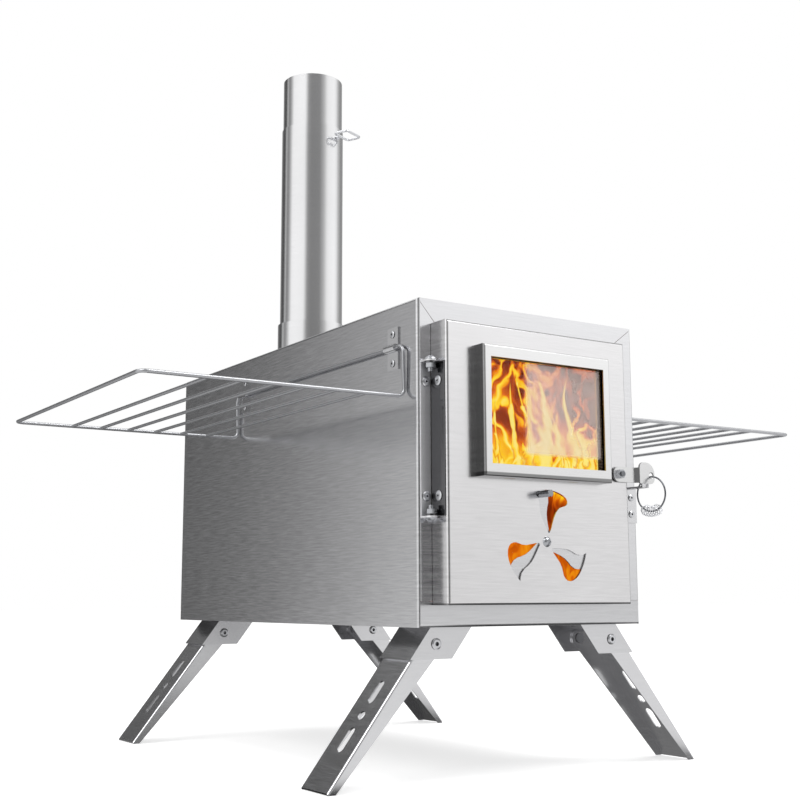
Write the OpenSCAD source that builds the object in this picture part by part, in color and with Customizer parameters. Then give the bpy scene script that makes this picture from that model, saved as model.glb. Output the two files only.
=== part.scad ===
// Folding tent wood stove in sheet steel. Millimetres, +Z up, the door faces -Y.
// X = 0 is the middle of the firebox, Z = 0 is the ground under the feet.

/* [Firebox] */
// Width over the side panels
body_w = 256; // [236:1:276]
// Depth from the front frame to the back panel
body_d = 518; // [490:1:550]
// Height from the pan's underside to the top sheet
body_h = 290; // [280:1:310]
// Thickness of the sheet steel
sheet = 1.5; // [1.2:0.1:1.8]
// Outside radius of the folded edges
bend_r = 3; // [2.4:0.1:3.6]
// Width of the front frame beside the hinge
frame_left = 30; // [27:1:34]
// Width of the front frame beside the latch
frame_right = 46; // [42:1:50]
// Height of the front frame above the door
frame_top = 34; // [30:1:38]
// Height of the pan's front lip
pan_lip = 22.3; // [20:0.1:24]
// Height of the pan's side and back lips
pan_side = 12; // [8:1:16]
// Open seam at the mitred corners of the front frame
seam = 0.5; // [0.3:0.1:0.8]

/* [Door] */
// Margin from the body's left edge to the door
door_left = 14.3; // [14.3:0.1:16]
// Margin from the body's right edge to the door
door_right = 32.5; // [31:0.1:34]
// Margin under the door
door_bottom = 19; // [17:0.1:20]
// Margin above the door
door_top = 22.5; // [20:0.1:26]
// Depth of the door pan
door_depth = 23.8; // [22:0.1:26]
// Gap between the door's rim and the front frame
door_gap = 0.4; // [0.3:0.1:0.8]
// Outside radius of the door's folded edges
door_r = 2.5; // [1.8:0.1:3]

/* [Window] */
// Width of the raised window frame
win_w = 147; // [141:1:151]
// Height of the raised window frame
win_h = 117; // [112:1:121]
// Height of the window's middle above the pan's underside
win_up = 188.4; // [186:0.1:191]
// How far the frame stands out of the door
win_proud = 13; // [12:0.1:15]
// Width of the frame's face at the sides
win_lip_x = 8; // [7:0.5:10]
// Width of the frame's face at top and bottom
win_lip_z = 11; // [9:0.5:13]
// Thickness of the glass
glass_t = 4; // [3:0.5:5]
// Thickness of the gasket in front of the glass
gasket_t = 1; // [0.8:0.1:1.5]
// Play round the glass in its frame
glass_play = 0.5; // [0.3:0.1:1]

/* [Air vent] */
// Sideways place of the vent's screw
vent_x = -5; // [-9:0.5:-1]
// Height of the vent's screw above the pan's underside
vent_up = 74.8; // [73:0.1:77]
// Radius of the blade-shaped openings
vent_r = 47; // [44:0.5:48]
// Radius of the turning disc
rotor_r = 50; // [49.2:0.1:51]
// Thickness of the turning disc
rotor_t = 1.2; // [1:0.1:1.4]
// How far the disc's openings are turned from the door's
rotor_turn = 19; // [16:1:22]
// Length of the peg from the disc
peg_len = 17; // [14:0.5:22]
// Radius of the peg
peg_r = 3.2; // [2.6:0.1:3.4]
// Radius at which the peg stands
peg_at = 43; // [42:0.5:43.5]

/* [Hinge] */
// Distance of the hinge axis from the body's left edge
hinge_in = 7.8; // [7.5:0.1:8.2]
// Distance of the hinge axis in front of the frame
hinge_out = 9; // [8.4:0.1:9.6]
// Height of the hinge's top ear above the pan's underside
hinge_top = 232.6; // [228:0.1:236]
// Height of the hinge's bottom ear above the pan's underside
hinge_low = 93.7; // [90:0.1:98]
// Thickness of the hinge leaves
leaf_t = 1.2; // [1:0.1:1.4]
// Radius of the ears round the axis
ear_r = 5.2; // [4.8:0.1:5.4]

/* [Latch] */
// Height of the latch's bolt above the pan's underside
latch_up = 140; // [138:0.5:142]
// Distance of the latch's bolt from the door's right edge
latch_in = 13.5; // [12.5:0.5:14.5]
// Half the width of the lever
lever_hw = 7.2; // [6.6:0.1:7.6]
// Thickness of the lever
lever_t = 1.8; // [1.5:0.1:2.2]
// Forward step from the lever's arm to its finger plate
lever_step = 4.4; // [3.8:0.1:5]
// Width of the finger plate
flag_w = 19; // [18:0.5:20]
// Height of the finger plate
flag_h = 20.3; // [18.5:0.1:22]
// Radius of the ring's middle line
ring_r = 16.5; // [15.5:0.1:17.5]
// Diameter of the ring's wire
ring_wire = 1.6; // [1.4:0.1:2]
// Angle between the ring's plane and the finger plate
ring_yaw = 82; // [78:1:85]
// Diameter of the grip's spring wire
coil_wire = 0.9; // [0.8:0.1:1]
// Turns of the grip's spring
coil_turns = 10; // [8:1:11]
// Play of the grip's spring round the ring's wire
coil_play = 3.6; // [2.5:0.1:3.9]
// Depth of the locking notch in the catch
notch = 2.2; // [2:0.1:2.6]

/* [Legs] */
// Length of a leg from its rivet to the ground
leg_len = 151.8; // [140:0.1:170]
// Height of the leg brackets
bracket_h = 27.5; // [26.5:0.1:29]
// Sideways run of a bracket over its height
bracket_run = 21.5; // [20:0.1:23]
// Width of a bracket's flanges
bracket_w = 44; // [41:0.5:47]
// Outside length of a bracket along the body
bracket_len = 49.8; // [46:0.1:54]
// Distance of a bracket's top from the body's middle
bracket_out = 107.5; // [104:0.1:110]
// Distance of the front brackets behind the front frame
bracket_front = 12.2; // [11:0.1:16]
// Distance of the back brackets in front of the back panel
bracket_back = 18; // [15:0.1:22]
// Depth of a leg's flanges at the rivet
leg_deep = 20.8; // [20:0.1:21.6]
// Width of a leg's flat toe
toe_w = 6; // [5:0.5:8]

/* [Side racks] */
// Diameter of the rack wire
rack_wire = 3.5; // [3:0.1:4]
// Reach of a rack from the side panel
rack_reach = 249; // [225:1:255]
// Distance of a rack's front arm behind the front frame
rack_front = 18; // [16:0.5:22]
// Distance between a rack's front and back arms
rack_long = 344; // [330:1:350]
// Height of the rack's hinge below the top sheet
rack_hinge_down = 41; // [39:0.5:43]
// Drop from the rack's hinge to its arms
rack_drop = 46.5; // [45:0.5:50]
// Diameter of the cross bars' wire
bar_wire = 3.2; // [2.6:0.1:3.3]
// Number of cross bars
rack_bars = 6; // [4:1:7]
// Spacing of the cross bars
bar_step = 30; // [27:1:31]
// Distance of the first cross bar from the side panel
bar_first = 40.5; // [36:0.5:44]

/* [Chimney] */
// Distance of the chimney's axis in front of the back panel
flue_back = 85.7; // [80:0.1:92]
// Outside radius of the flue collar
collar_r = 41; // [40.6:0.1:42]
// Height of the flue collar above the top sheet
collar_h = 68.5; // [60:0.5:80]
// Wall of the pipes
pipe_wall = 0.9; // [0.8:0.1:1.1]
// Wall of the flue collar
collar_wall = 2.1; // [1.8:0.1:2.4]
// Length of the lower pipe
pipe_low_len = 313; // [280:1:340]
// Length of the upper pipe
pipe_up_len = 75.5; // [65:0.5:100]
// Depth of the upper pipe in the lower one
pipe_nest = 10; // [8:0.5:12]
// Diameter of the damper's wire
damper_wire = 3; // [2.6:0.1:3.2]
// Direction of the damper's handle, from the front to the right
damper_yaw = 23.5; // [15:0.5:30]

/* [Fits] */
// Play of a turning pin in its hole, each side
pin_play = 0.05; // [0.03:0.01:0.08]
// Play between sheets that slide past each other
slide_gap = 0.3; // [0.2:0.05:0.4]
// Play of sheet edges beside each other
edge_gap = 0.2; // [0.1:0.05:0.3]
// Play between nesting pipes, each side
pipe_gap = 0.4; // [0.3:0.05:0.5]

/* [Show] */
// Part to draw

/* [Hidden] */
$fn = 64;
eps = 0.01;
lap = 1;                          // how far a cut runs past what it cuts
m5 = 2.5;                         // shank radius of the M5 screws
nut_r = 4 / cos(30);              // corner radius of an M5 nut
nut_h = 4;
head_r = 4.8;                     // dome head of the M5 screws
head_h = 3;
big_rivet = 4.5;                  // head radius of the hinge and leg rivets
small_rivet = 3.4;                // head radius of the other rivets
shank = 1.6;                      // rivet shank radius
leg_pin = 3;                      // shank radius of the leg rivets

// legs
lean = atan(bracket_run / bracket_h);
pivot_x = bracket_out - 5.8;
pivot_down = 14.4;
z0 = leg_len * cos(lean) + pivot_down;      // pan's underside above the ground
z1 = z0 + body_h;                           // top sheet
pivot_z = z0 - pivot_down;
web_off = (bracket_out - pivot_x) * cos(lean) + pivot_down * sin(lean) - sheet - slide_gap;

// body
hw = body_w / 2;
flue_y = body_d - flue_back;

// door
dx0 = -hw + door_left;
dx1 = hw - door_right;
dz0 = z0 + door_bottom;
dz1 = z1 - door_top;
dyf = -(door_gap + door_depth);             // door's front face
dyi = dyf + sheet;                          // inside of the door's front sheet
win_x = (dx0 + dx1) / 2;
win_z = z0 + win_up;
wyf = dyf - win_proud;                      // face of the window frame
glass_yf = wyf + sheet + gasket_t;
glass_yb = glass_yf + glass_t;
vent_z = z0 + vent_up;
hinge_x = -hw + hinge_in;
hinge_y = -hinge_out;
ear_t = z0 + hinge_top;
ear_b = z0 + hinge_low;
leaf_x = dx0 - leaf_t;                      // outer face of the door leaf

// latch
latch_x = dx1 - latch_in;
latch_z = z0 + latch_up;
spacer_t = 1.2;
arm_yb = dyf - spacer_t - 0.1;
arm_yf = arm_yb - lever_t;
flag_yb = arm_yb - lever_step;
flag_yf = flag_yb - lever_t;
flag_x0 = dx1 + 8.5;
flag_x1 = flag_x0 + flag_w;
flag_z0 = latch_z - lever_hw - 0.8;
ring_hole = ring_wire / 2 + 1.5;
ring_x = flag_x1 - ring_hole - 1.9;
ring_y = (flag_yf + flag_yb) / 2;
ring_top = latch_z - 1;
hole_z = ring_top + ring_hole - ring_wire / 2 - slide_gap;   // the ring hangs in its hole
catch_x0 = flag_x0 + 0.5;
catch_x1 = ring_x - ring_r * cos(ring_yaw) - ring_wire / 2 - 2.7;
lip_yb = flag_yf - 0.8;
lip_yf = lip_yb - sheet;
lip_top = flag_z0 - 0.4;
ledge_top = lip_top - notch;
coil_r = ring_wire / 2 + coil_wire / 2 + coil_play;
coil_span = 42;

// racks
rack_x = hw + rack_wire / 2 + pin_play + 1.6;
rack_z = z1 - rack_hinge_down;
arm_z = rack_z - rack_drop;
rack_back = rack_front + rack_long;
rack_out = hw + rack_reach;
knuckle_r = rack_x - hw;
plate_w = 17.4;
plate_hh = 19.5;                             // half the height of a rack's hinge plate
rack_bend = 7;                              // bend radius of the rack wire
plate_yf = [rack_front + rack_bend + 4.6, rack_back - rack_bend - edge_gap - plate_w];

// chimney
collar_seat = 6;
pipe_r = collar_r - collar_wall - pipe_gap;
low_z = z1 + collar_seat + sheet;
low_top = low_z + pipe_low_len;
up_r = pipe_r - pipe_wall - pipe_gap;
up_z = low_top - pipe_nest;
top_z = up_z + pipe_up_len;
damper_z = up_z - sheet - damper_wire / 2 - 1;

// the frame's origin is under the middle of the whole object
front_most = max(-ring_y + ring_r * sin(ring_yaw) + ring_wire / 2, -dyi - slide_gap + peg_len);
mid_y = (body_d - front_most) / 2;
echo("height", top_z, "pan above ground", z0, "middle", mid_y, "depth", body_d + front_most, "width", 2 * rack_out + rack_wire);
echo("hinge", hinge_x, hinge_y - mid_y, "latch", latch_x, latch_z, "ring", ring_x, ring_y - mid_y, ring_top, "vent", vent_x, vent_z);
echo("legs", pivot_x, pivot_z, "racks", rack_x, rack_z, "flue", flue_y - mid_y, "damper", damper_z, "lean", lean);

module box(x0, x1, y0, y1, za, zb) { translate([x0, y0, za]) cube([x1 - x0, y1 - y0, zb - za]); }
module cyl_y(r, ya, yb) { translate([0, ya, 0]) rotate([-90, 0, 0]) cylinder(r = r, h = yb - ya); }
module cyl_x(r, xa, xb) { translate([xa, 0, 0]) rotate([0, 90, 0]) cylinder(r = r, h = xb - xa); }
module both() { children(); mirror([1, 0, 0]) children(); }

// square with a corner radius at each corner: low-left, low-right, top-right, top-left
module rsq(x0, x1, ya, yb, r) {
    c = [[x0, ya, 1, 1], [x1, ya, -1, 1], [x1, yb, -1, -1], [x0, yb, 1, -1]];
    difference() {
        translate([x0, ya]) square([x1 - x0, yb - ya]);
        for (i = [0:3]) if (r[i] > 0) translate([c[i][0], c[i][1]]) scale([c[i][2], c[i][3]]) difference() {
            translate([-lap, -lap]) square(r[i] + lap);
            translate([r[i], r[i]]) circle(r[i]);
        }
    }
}
// extrude a drawing of (x, z) along Y
module along_y(ya, yb) { translate([0, yb, 0]) rotate([90, 0, 0]) linear_extrude(yb - ya) children(); }
// extrude a drawing of (y, z) along X
module along_x(xa, xb) { translate([xa, 0, 0]) rotate([90, 0, 90]) linear_extrude(xb - xa) children(); }

// box with rounded edges round its front face
module soft_front(x0, x1, ya, yb, za, zb, r) {
    intersection() {
        translate([0, 0, za]) linear_extrude(zb - za) rsq(x0, x1, ya, yb, [r, r, 0, 0]);
        along_x(x0, x1) rsq(ya, yb, za, zb, [r, 0, 0, r]);
    }
}
// blind rivet along +Z: head above 0, tail under the sheets it holds
module rivet(grip, hr, hh = 1.5, sr = shank, tail = 1) {
    difference() {
        union() {
            cylinder(r = hr, h = hh / 2);
            translate([0, 0, hh / 2]) cylinder(r1 = hr, r2 = hr * 0.72, h = hh / 2);
            translate([0, 0, -grip]) cylinder(r = sr, h = grip + eps);
            translate([0, 0, -grip - tail]) cylinder(r = sr * 1.6, h = tail);
        }
        translate([0, 0, -grip / 2]) cylinder(r = sr * 0.62, h = grip + hh);
    }
}
module dome(r, h) {                          // dome-shaped screw head on Z = 0
    rad = (r * r + h * h) / (2 * h);
    intersection() { cylinder(r = r, h = h); translate([0, 0, h - rad]) sphere(rad); }
}
module nut(h = nut_h) {
    difference() {
        intersection() { cylinder(r = nut_r, h = h, $fn = 6); dome(nut_r + 0.2, h * 1.6); }
        translate([0, 0, -lap]) cylinder(r = m5 + pin_play, h = h + 2 * lap);
    }
}
function unit(v) = v / norm(v);
function mid_turn(a, b) = acos(max(-1, min(1, a * b)));
// bend of a wire at a corner: directions a in, b out, bend radius br; the straights reach wire_lap into it
wire_lap = 0.5;
module bend(p, a, b, br, r) {
    th = mid_turn(a, b);
    n = unit(cross(a, b));
    c = p + unit(b - a) * br / cos(th / 2);
    s = unit(p - a * br * tan(th / 2) - c);
    t = cross(n, s);
    multmatrix([[s[0], t[0], n[0], c[0]], [s[1], t[1], n[1], c[1]], [s[2], t[2], n[2], c[2]], [0, 0, 0, 1]])
        rotate_extrude(angle = th) translate([br, 0]) circle(r - 0.1);
}
module rod(p, q, r) {
    v = q - p;
    l = norm(v);
    translate(p) rotate([0, acos(v[2] / l), atan2(v[1], v[0])]) cylinder(r = r, h = l);
}
module wire_loop(p, br, r) {                 // closed loop of wire through points p
    n = len(p);
    for (i = [0:n - 1]) {
        a = unit(p[i] - p[(i + n - 1) % n]);
        b = unit(p[(i + 1) % n] - p[i]);
        c = unit(p[(i + 2) % n] - p[(i + 1) % n]);
        bend(p[i], a, b, br, r);
        rod(p[i] + b * (br * tan(mid_turn(a, b) / 2) - wire_lap), p[(i + 1) % n] - b * (br * tan(mid_turn(b, c) / 2) - wire_lap), r);
    }
}

// ---- firebox ----
rack_rivet_z = 13.45;
rack_rivets_at = [for (y = plate_yf, s = [-1, 1]) [y + plate_w / 2, rack_z + s * rack_rivet_z]];
hinge_rivets_at = [ear_t - 18.7, ear_b + 19];
catch_rivets_at = [ledge_top - 8.5, ledge_top - 24.5];
catch_rivet_x = (flag_x0 + hw) / 2 + 4;
catch_right = hw - 1;
collar_rivet_r = collar_r + 8;

module body_shell() {
    color([0.72, 0.72, 0.74]) difference() {
        intersection() {
            translate([0, 0, z0]) linear_extrude(body_h) rsq(-hw, hw, 0, body_d, [bend_r, bend_r, 0, 0]);
            along_y(0, body_d) rsq(-hw, hw, z0, z1, [0, 0, bend_r, bend_r]);
        }
        box(-hw + sheet, hw - sheet, sheet, body_d + lap, z0 - lap, z1 - sheet);
        box(-hw + frame_left, hw - frame_right, -lap, sheet + lap, z0 - lap, z1 - frame_top);
        box(-hw + sheet, hw - sheet, -lap, sheet + lap, z0 - lap, z0 + pan_lip + edge_gap);
        along_y(-lap, sheet + eps) polygon([[-hw + bend_r, z1 - bend_r * frame_top / frame_left - seam],
            [-hw + frame_left + lap, z1 - frame_top - lap - seam], [-hw + frame_left + lap, z1 - frame_top - lap + seam],
            [-hw + bend_r, z1 - bend_r * frame_top / frame_left]]);
        along_y(-lap, sheet + eps) polygon([[hw - bend_r, z1 - bend_r * frame_top / frame_right - seam],
            [hw - frame_right - lap, z1 - frame_top - lap * frame_top / frame_right - seam],
            [hw - frame_right - lap, z1 - frame_top - lap * frame_top / frame_right],
            [hw - bend_r, z1 - bend_r * frame_top / frame_right]]);
        translate([0, flue_y, z1 - sheet - lap]) cylinder(r = collar_r + edge_gap, h = sheet + 2 * lap);
        for (a = [45:90:315]) translate([0, flue_y, z1]) rotate(a) translate([collar_rivet_r, 0]) {
            translate([0, 0, -sheet - lap]) cylinder(r = shank + pin_play, h = sheet + 2 * lap);
            flush_cone(pin_play, lap);
        }
        for (p = rack_rivets_at) both() translate([0, p[0], p[1]]) cyl_x(shank + pin_play, hw - sheet - lap, hw + lap);
        for (z = hinge_rivets_at) translate([hinge_x, 0, z]) cyl_y(shank + pin_play, -lap, sheet + lap);
        for (z = catch_rivets_at) translate([catch_rivet_x, 0, z]) cyl_y(shank + pin_play, -lap, sheet + lap);
    }
}
pan_hw = hw - sheet - edge_gap;
bracket_ys = [bracket_front, body_d - bracket_back - bracket_len];
bracket_rivet_x = [bracket_out - bracket_w + 10, bracket_out - 9];
module bracket_rivet_spots() {
    for (y = bracket_ys, x = bracket_rivet_x) both() translate([x, y + bracket_len / 2, z0]) children();
}
module bottom_pan() {
    color([0.7, 0.7, 0.72]) difference() {
        along_x(-pan_hw, pan_hw) rsq(0, body_d - sheet - edge_gap, z0, z0 + pan_lip, [bend_r, 0, 0, 0]);
        box(-pan_hw + sheet, pan_hw - sheet, sheet, body_d - 2 * sheet - edge_gap, z0 + sheet, z1);
        box(-hw, hw, sheet, body_d, z0 + pan_side, z1);
        bracket_rivet_spots() translate([0, 0, -lap]) cylinder(r = shank + pin_play, h = sheet + 2 * lap);
    }
}
rear_lip = 12;                    // depth of the back panel's folded lips
module rear_panel() {
    color([0.68, 0.68, 0.7]) difference() {
        box(-pan_hw, pan_hw, body_d - rear_lip, body_d, z0, z1 - sheet - edge_gap);
        box(-pan_hw + sheet, pan_hw - sheet, body_d - rear_lip - lap, body_d - sheet, z0 - lap, z1 - 2 * sheet - edge_gap);
        box(-hw, hw, body_d - rear_lip - lap, body_d - sheet, z0 - lap, z0 + pan_side + 1);
    }
}
module flue_collar() {
    color([0.75, 0.75, 0.76]) translate([0, flue_y, 0]) difference() {
        union() {
            translate([0, 0, z1 - sheet - 8]) cylinder(r = collar_r, h = sheet + 8 + collar_h);
            translate([0, 0, z1 - 2 * sheet]) cylinder(r = collar_rivet_r + 7, h = sheet);
        }
        translate([0, 0, z1 - sheet - 8 - lap]) cylinder(r = pipe_r - 2, h = collar_h + 40);
        translate([0, 0, low_z]) cylinder(r = collar_r - collar_wall, h = collar_h + 40);
        translate([0, 0, z1 - sheet - 8 - lap]) cylinder(r = collar_r - collar_wall, h = sheet + 8 + lap + collar_seat);
        for (a = [45:90:315]) rotate(a) translate([collar_rivet_r, 0, z1 - 3 * sheet]) cylinder(r = shank + pin_play, h = 3 * sheet);
    }
}
// countersunk head, flush with Z = 0 so that a pot stands flat on the top sheet: g wider all round, up past the sheet by over
flush_deep = 1.2;
module flush_cone(g, over) {
    slope = (small_rivet - shank) / flush_deep;
    translate([0, 0, -flush_deep]) cylinder(r1 = shank + g, r2 = small_rivet + g + over * slope, h = flush_deep + over);
}
module collar_rivets() {
    color([0.8, 0.8, 0.8]) for (a = [45:90:315]) translate([0, flue_y, z1]) rotate(a) translate([collar_rivet_r, 0]) difference() {
        union() {
            flush_cone(0, 0);
            translate([0, 0, -2 * sheet]) cylinder(r = shank, h = 2 * sheet - flush_deep + eps);
            translate([0, 0, -2 * sheet - 1]) cylinder(r = shank * 1.6, h = 1);
        }
        translate([0, 0, -sheet]) cylinder(r = shank * 0.62, h = sheet + lap);
    }
}
grate_hw = hw - 20;
grate_up = 18;
grate_front = 30;                 // from the front frame to the grate, and to its first slots
slot_front = 60;
slot_back = 40;                   // from its last slots to the chimney's axis
module fire_grate() {
    color([0.35, 0.34, 0.33]) difference() {
        box(-grate_hw, grate_hw, grate_front, flue_y - 10, z0 + sheet, z0 + grate_up + 2);
        box(-grate_hw + 2, grate_hw - 2, grate_front - lap, flue_y, z0, z0 + grate_up);
        for (i = [0:9], s = [-1, 1]) translate([s * grate_hw / 2, slot_front + i * (flue_y - slot_front - slot_back) / 9, z0 + grate_up - lap])
            linear_extrude(2 + 2 * lap) rsq(-grate_hw / 2 + 10, grate_hw / 2 - 10, -4, 4, [3.9, 3.9, 3.9, 3.9]);
    }
}

// ---- door ----
// outline of one blade-shaped opening: radius as a share of vent_r, and angle
blade_lead = [[0.18, 78], [0.26, 92], [0.34, 99], [0.44, 103.5], [0.55, 105.3], [0.66, 104.5], [0.76, 103], [0.87, 103.8], [0.94, 106], [1, 108.5]];
blade_trail = [[0.985, 59.5], [0.955, 56.3], [0.915, 54.8], [0.87, 54.9], [0.83, 56.5], [0.78, 60], [0.72, 63.8], [0.62, 66.8], [0.5, 68], [0.38, 67.4], [0.27, 66], [0.18, 69]];
// the lower openings end sooner, because the peg's travel needs no room there
low_trail = [[0.99, 76], [0.965, 70.5], [0.93, 66.5], [0.88, 63.5], [0.82, 62], [0.75, 61.8], [0.68, 63.6], [0.61, 66], [0.5, 68], [0.38, 67.4], [0.27, 66], [0.18, 69]];
module blade(trail) {
    arc = [for (a = [105:-4:trail[0][1] + 3]) [1, a]];
    polygon([for (q = concat(blade_lead, arc, trail)) vent_r * q[0] * [cos(q[1]), sin(q[1])]]);
}
module blades(turn, top_trail) { for (k = [0:2]) rotate(120 * k - turn) blade(k == 0 ? top_trail : low_trail); }
peg_angle = 99;
tab_w = 12;
tabs_x = [win_x - win_w / 4, win_x + win_w / 4];
module tab_cuts(g) {                         // the frame's tabs behind the door sheet
    for (x = tabs_x, s = [-1, 1]) translate([0, 0, win_z + s * (win_h / 2 - sheet / 2)])
        box(x - tab_w / 2 - g, x + tab_w / 2 + g, dyf - eps, dyi + 2, -sheet / 2 - g, sheet / 2 + g);
}
module window_open(y0, y1, g) {
    box(win_x - win_w / 2 + win_lip_x - g, win_x + win_w / 2 - win_lip_x + g, y0, y1, win_z - win_h / 2 + win_lip_z - g, win_z + win_h / 2 - win_lip_z + g);
}
module door_pan() {
    color([0.86, 0.86, 0.87]) difference() {
        soft_front(dx0, dx1, dyf, -door_gap, dz0, dz1, door_r);
        box(dx0 + sheet, dx1 - sheet, dyi, lap, dz0 + sheet, dz1 - sheet);
        window_open(dyf - lap, dyi + lap, 1);
        tab_cuts(0.1);
        translate([vent_x, dyi + lap, vent_z]) rotate([90, 0, 0]) linear_extrude(sheet + 2 * lap) blades(0, blade_trail);
        translate([vent_x, 0, vent_z]) cyl_y(m5 + pin_play, dyf - lap, dyi + lap);
        translate([latch_x, 0, latch_z]) cyl_y(m5 + pin_play, dyf - lap, dyi + lap);
        for (z = hinge_rivets_at) translate([0, dyf / 2 - 1, z]) cyl_x(shank + pin_play, dx0 - lap, dx0 + sheet + lap);
    }
}
module window_frame() {
    color([0.9, 0.9, 0.9]) difference() {
        union() {
            soft_front(win_x - win_w / 2, win_x + win_w / 2, wyf, dyf, win_z - win_h / 2, win_z + win_h / 2, 2);
            tab_cuts(0);
            for (x = tabs_x, s = [-1, 1]) translate([0, 0, win_z + s * (win_h / 2 - 4)]) box(x - tab_w / 2, x + tab_w / 2, dyi, dyi + sheet, -4, 4);
        }
        box(win_x - win_w / 2 + sheet, win_x + win_w / 2 - sheet, wyf + sheet, dyf + eps, win_z - win_h / 2 + sheet, win_z + win_h / 2 - sheet);
        window_open(wyf - lap, wyf + sheet + lap, 0);
    }
}
module ring_box(y0, y1) {                    // what fits inside the window frame, open in the middle
    difference() {
        box(win_x - win_w / 2 + sheet + glass_play, win_x + win_w / 2 - sheet - glass_play, y0, y1, win_z - win_h / 2 + sheet + glass_play, win_z + win_h / 2 - sheet - glass_play);
        window_open(y0 - lap, y1 + lap, 1);
    }
}
module gasket_front() { color([0.2, 0.2, 0.2]) ring_box(wyf + sheet, glass_yf); }
module gasket_rear() { color([0.2, 0.2, 0.2]) ring_box(glass_yb, dyf); }
module window_glass() {
    color([0.5, 0.35, 0.25, 0.6]) box(win_x - win_w / 2 + sheet + glass_play, win_x + win_w / 2 - sheet - glass_play, glass_yf, glass_yb,
        win_z - win_h / 2 + sheet + glass_play, win_z + win_h / 2 - sheet - glass_play);
}
rotor_y = dyi + slide_gap;
peg_x = vent_x + peg_at * cos(peg_angle);
peg_z = vent_z + peg_at * sin(peg_angle);
module vent_rotor() {
    color([0.8, 0.8, 0.82]) difference() {
        translate([vent_x, 0, vent_z]) cyl_y(rotor_r, rotor_y, rotor_y + rotor_t);
        translate([vent_x, rotor_y + rotor_t + lap, vent_z]) rotate([90, 0, 0]) linear_extrude(rotor_t + 2 * lap) blades(rotor_turn, low_trail);
        translate([vent_x, 0, vent_z]) cyl_y(m5 + pin_play, rotor_y - lap, rotor_y + rotor_t + lap);
        translate([peg_x, 0, peg_z]) cyl_y(shank + pin_play, rotor_y - lap, rotor_y + rotor_t + lap);
    }
}
module vent_peg() {
    color([0.78, 0.78, 0.8]) translate([peg_x, 0, peg_z]) {
        cyl_y(peg_r, rotor_y - peg_len + 0.6, rotor_y);
        translate([0, rotor_y - peg_len + 0.6, 0]) rotate([90, 0, 0]) cylinder(r1 = peg_r, r2 = peg_r - 0.6, h = 0.6);
        cyl_y(shank, rotor_y - eps, rotor_y + rotor_t + eps);
        cyl_y(shank * 1.7, rotor_y + rotor_t, rotor_y + rotor_t + 1);
    }
}
module cross_slot() { for (a = [0, 90]) rotate(a) translate([-2.4, -0.5, 0]) cube([4.8, 1, 3]); }
vent_wash = 1.2;
module vent_screw() {
    color([0.6, 0.6, 0.62]) translate([vent_x, 0, vent_z]) {
        difference() {
            translate([0, dyf, 0]) rotate([90, 0, 0]) dome(head_r, head_h);
            translate([0, dyf, 0]) rotate([90, 0, 0]) translate([0, 0, head_h - 1.3]) cross_slot();
        }
        cyl_y(m5, dyf - eps, rotor_y + rotor_t + vent_wash + nut_h + 1.4);
    }
}
module vent_washer() {
    color([0.7, 0.7, 0.7]) translate([vent_x, 0, vent_z]) difference() {
        cyl_y(5.5, rotor_y + rotor_t + 0.1, rotor_y + rotor_t + 0.1 + vent_wash);
        cyl_y(m5 + pin_play, rotor_y, rotor_y + rotor_t + vent_wash + lap);
    }
}
module vent_nut() {
    color([0.7, 0.7, 0.7]) translate([vent_x, rotor_y + rotor_t + 0.1 + vent_wash, vent_z]) rotate([-90, 0, 0]) nut();
}

// ---- hinge ----
leaf_hw = hinge_in - 2.4;
module hinge_body_leaf() {
    color([0.74, 0.74, 0.76]) difference() {
        union() {
            box(hinge_x - leaf_hw, hinge_x + leaf_hw - 0.6, -sheet, 0, ear_b, ear_t);
            for (z = [ear_b, ear_t - sheet]) translate([0, 0, z]) linear_extrude(sheet) {
                translate([hinge_x, hinge_y]) circle(ear_r);
                translate([hinge_x - ear_r, hinge_y]) square([2 * ear_r, hinge_out]);
            }
        }
        translate([hinge_x, hinge_y, z0]) cylinder(r = m5 + pin_play, h = body_h);
        for (z = hinge_rivets_at) translate([hinge_x, 0, z]) cyl_y(shank + pin_play, -sheet - lap, lap);
    }
}
ear_in = sheet + slide_gap;                  // door leaf's ears lie inside the body leaf's
module hinge_door_leaf() {
    color([0.7, 0.7, 0.72]) difference() {
        union() {
            box(leaf_x, dx0, dyf + door_r, -slide_gap - door_gap - 1.5, ear_b + ear_in, ear_t - ear_in);
            for (z = [ear_b + ear_in, ear_t - ear_in - sheet]) translate([0, 0, z]) linear_extrude(sheet) {
                translate([hinge_x, hinge_y]) circle(ear_r);
                translate([hinge_x, hinge_y - ear_r]) square([dx0 - hinge_x, 2 * ear_r]);
            }
        }
        translate([hinge_x, hinge_y, z0]) cylinder(r = m5 + pin_play, h = body_h);
        for (z = hinge_rivets_at) translate([0, dyf / 2 - 1, z]) cyl_x(shank + pin_play, leaf_x - lap, dx0 + lap);
    }
}
module hinge_body_rivets() {
    color([0.8, 0.8, 0.8]) for (z = hinge_rivets_at) translate([hinge_x, -sheet, z]) rotate([90, 0, 0]) rivet(2 * sheet, big_rivet);
}
module hinge_door_rivets() {
    color([0.8, 0.8, 0.8]) for (z = hinge_rivets_at) translate([leaf_x, dyf / 2 - 1, z]) rotate([0, -90, 0]) rivet(leaf_t + sheet, big_rivet, 1.2);
}
screw_in = 11;                               // length of a hinge screw past the outer ear
module hinge_end(s) {                        // things stacked on the hinge axis, s = 1 at the top
    translate([hinge_x, hinge_y, s > 0 ? ear_t + 0.1 : ear_b - 0.1]) scale([1, 1, 1]) rotate([s > 0 ? 0 : 180, 0, 0]) children();
}
module hinge_screws() {
    color([0.6, 0.6, 0.62]) for (s = [-1, 1]) hinge_end(s) {
        difference() { dome(head_r + 0.6, head_h + 0.6); translate([0, 0, head_h - 0.7]) cross_slot(); }
        translate([0, 0, -screw_in]) cylinder(r = m5, h = screw_in + eps);
    }
}
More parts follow.
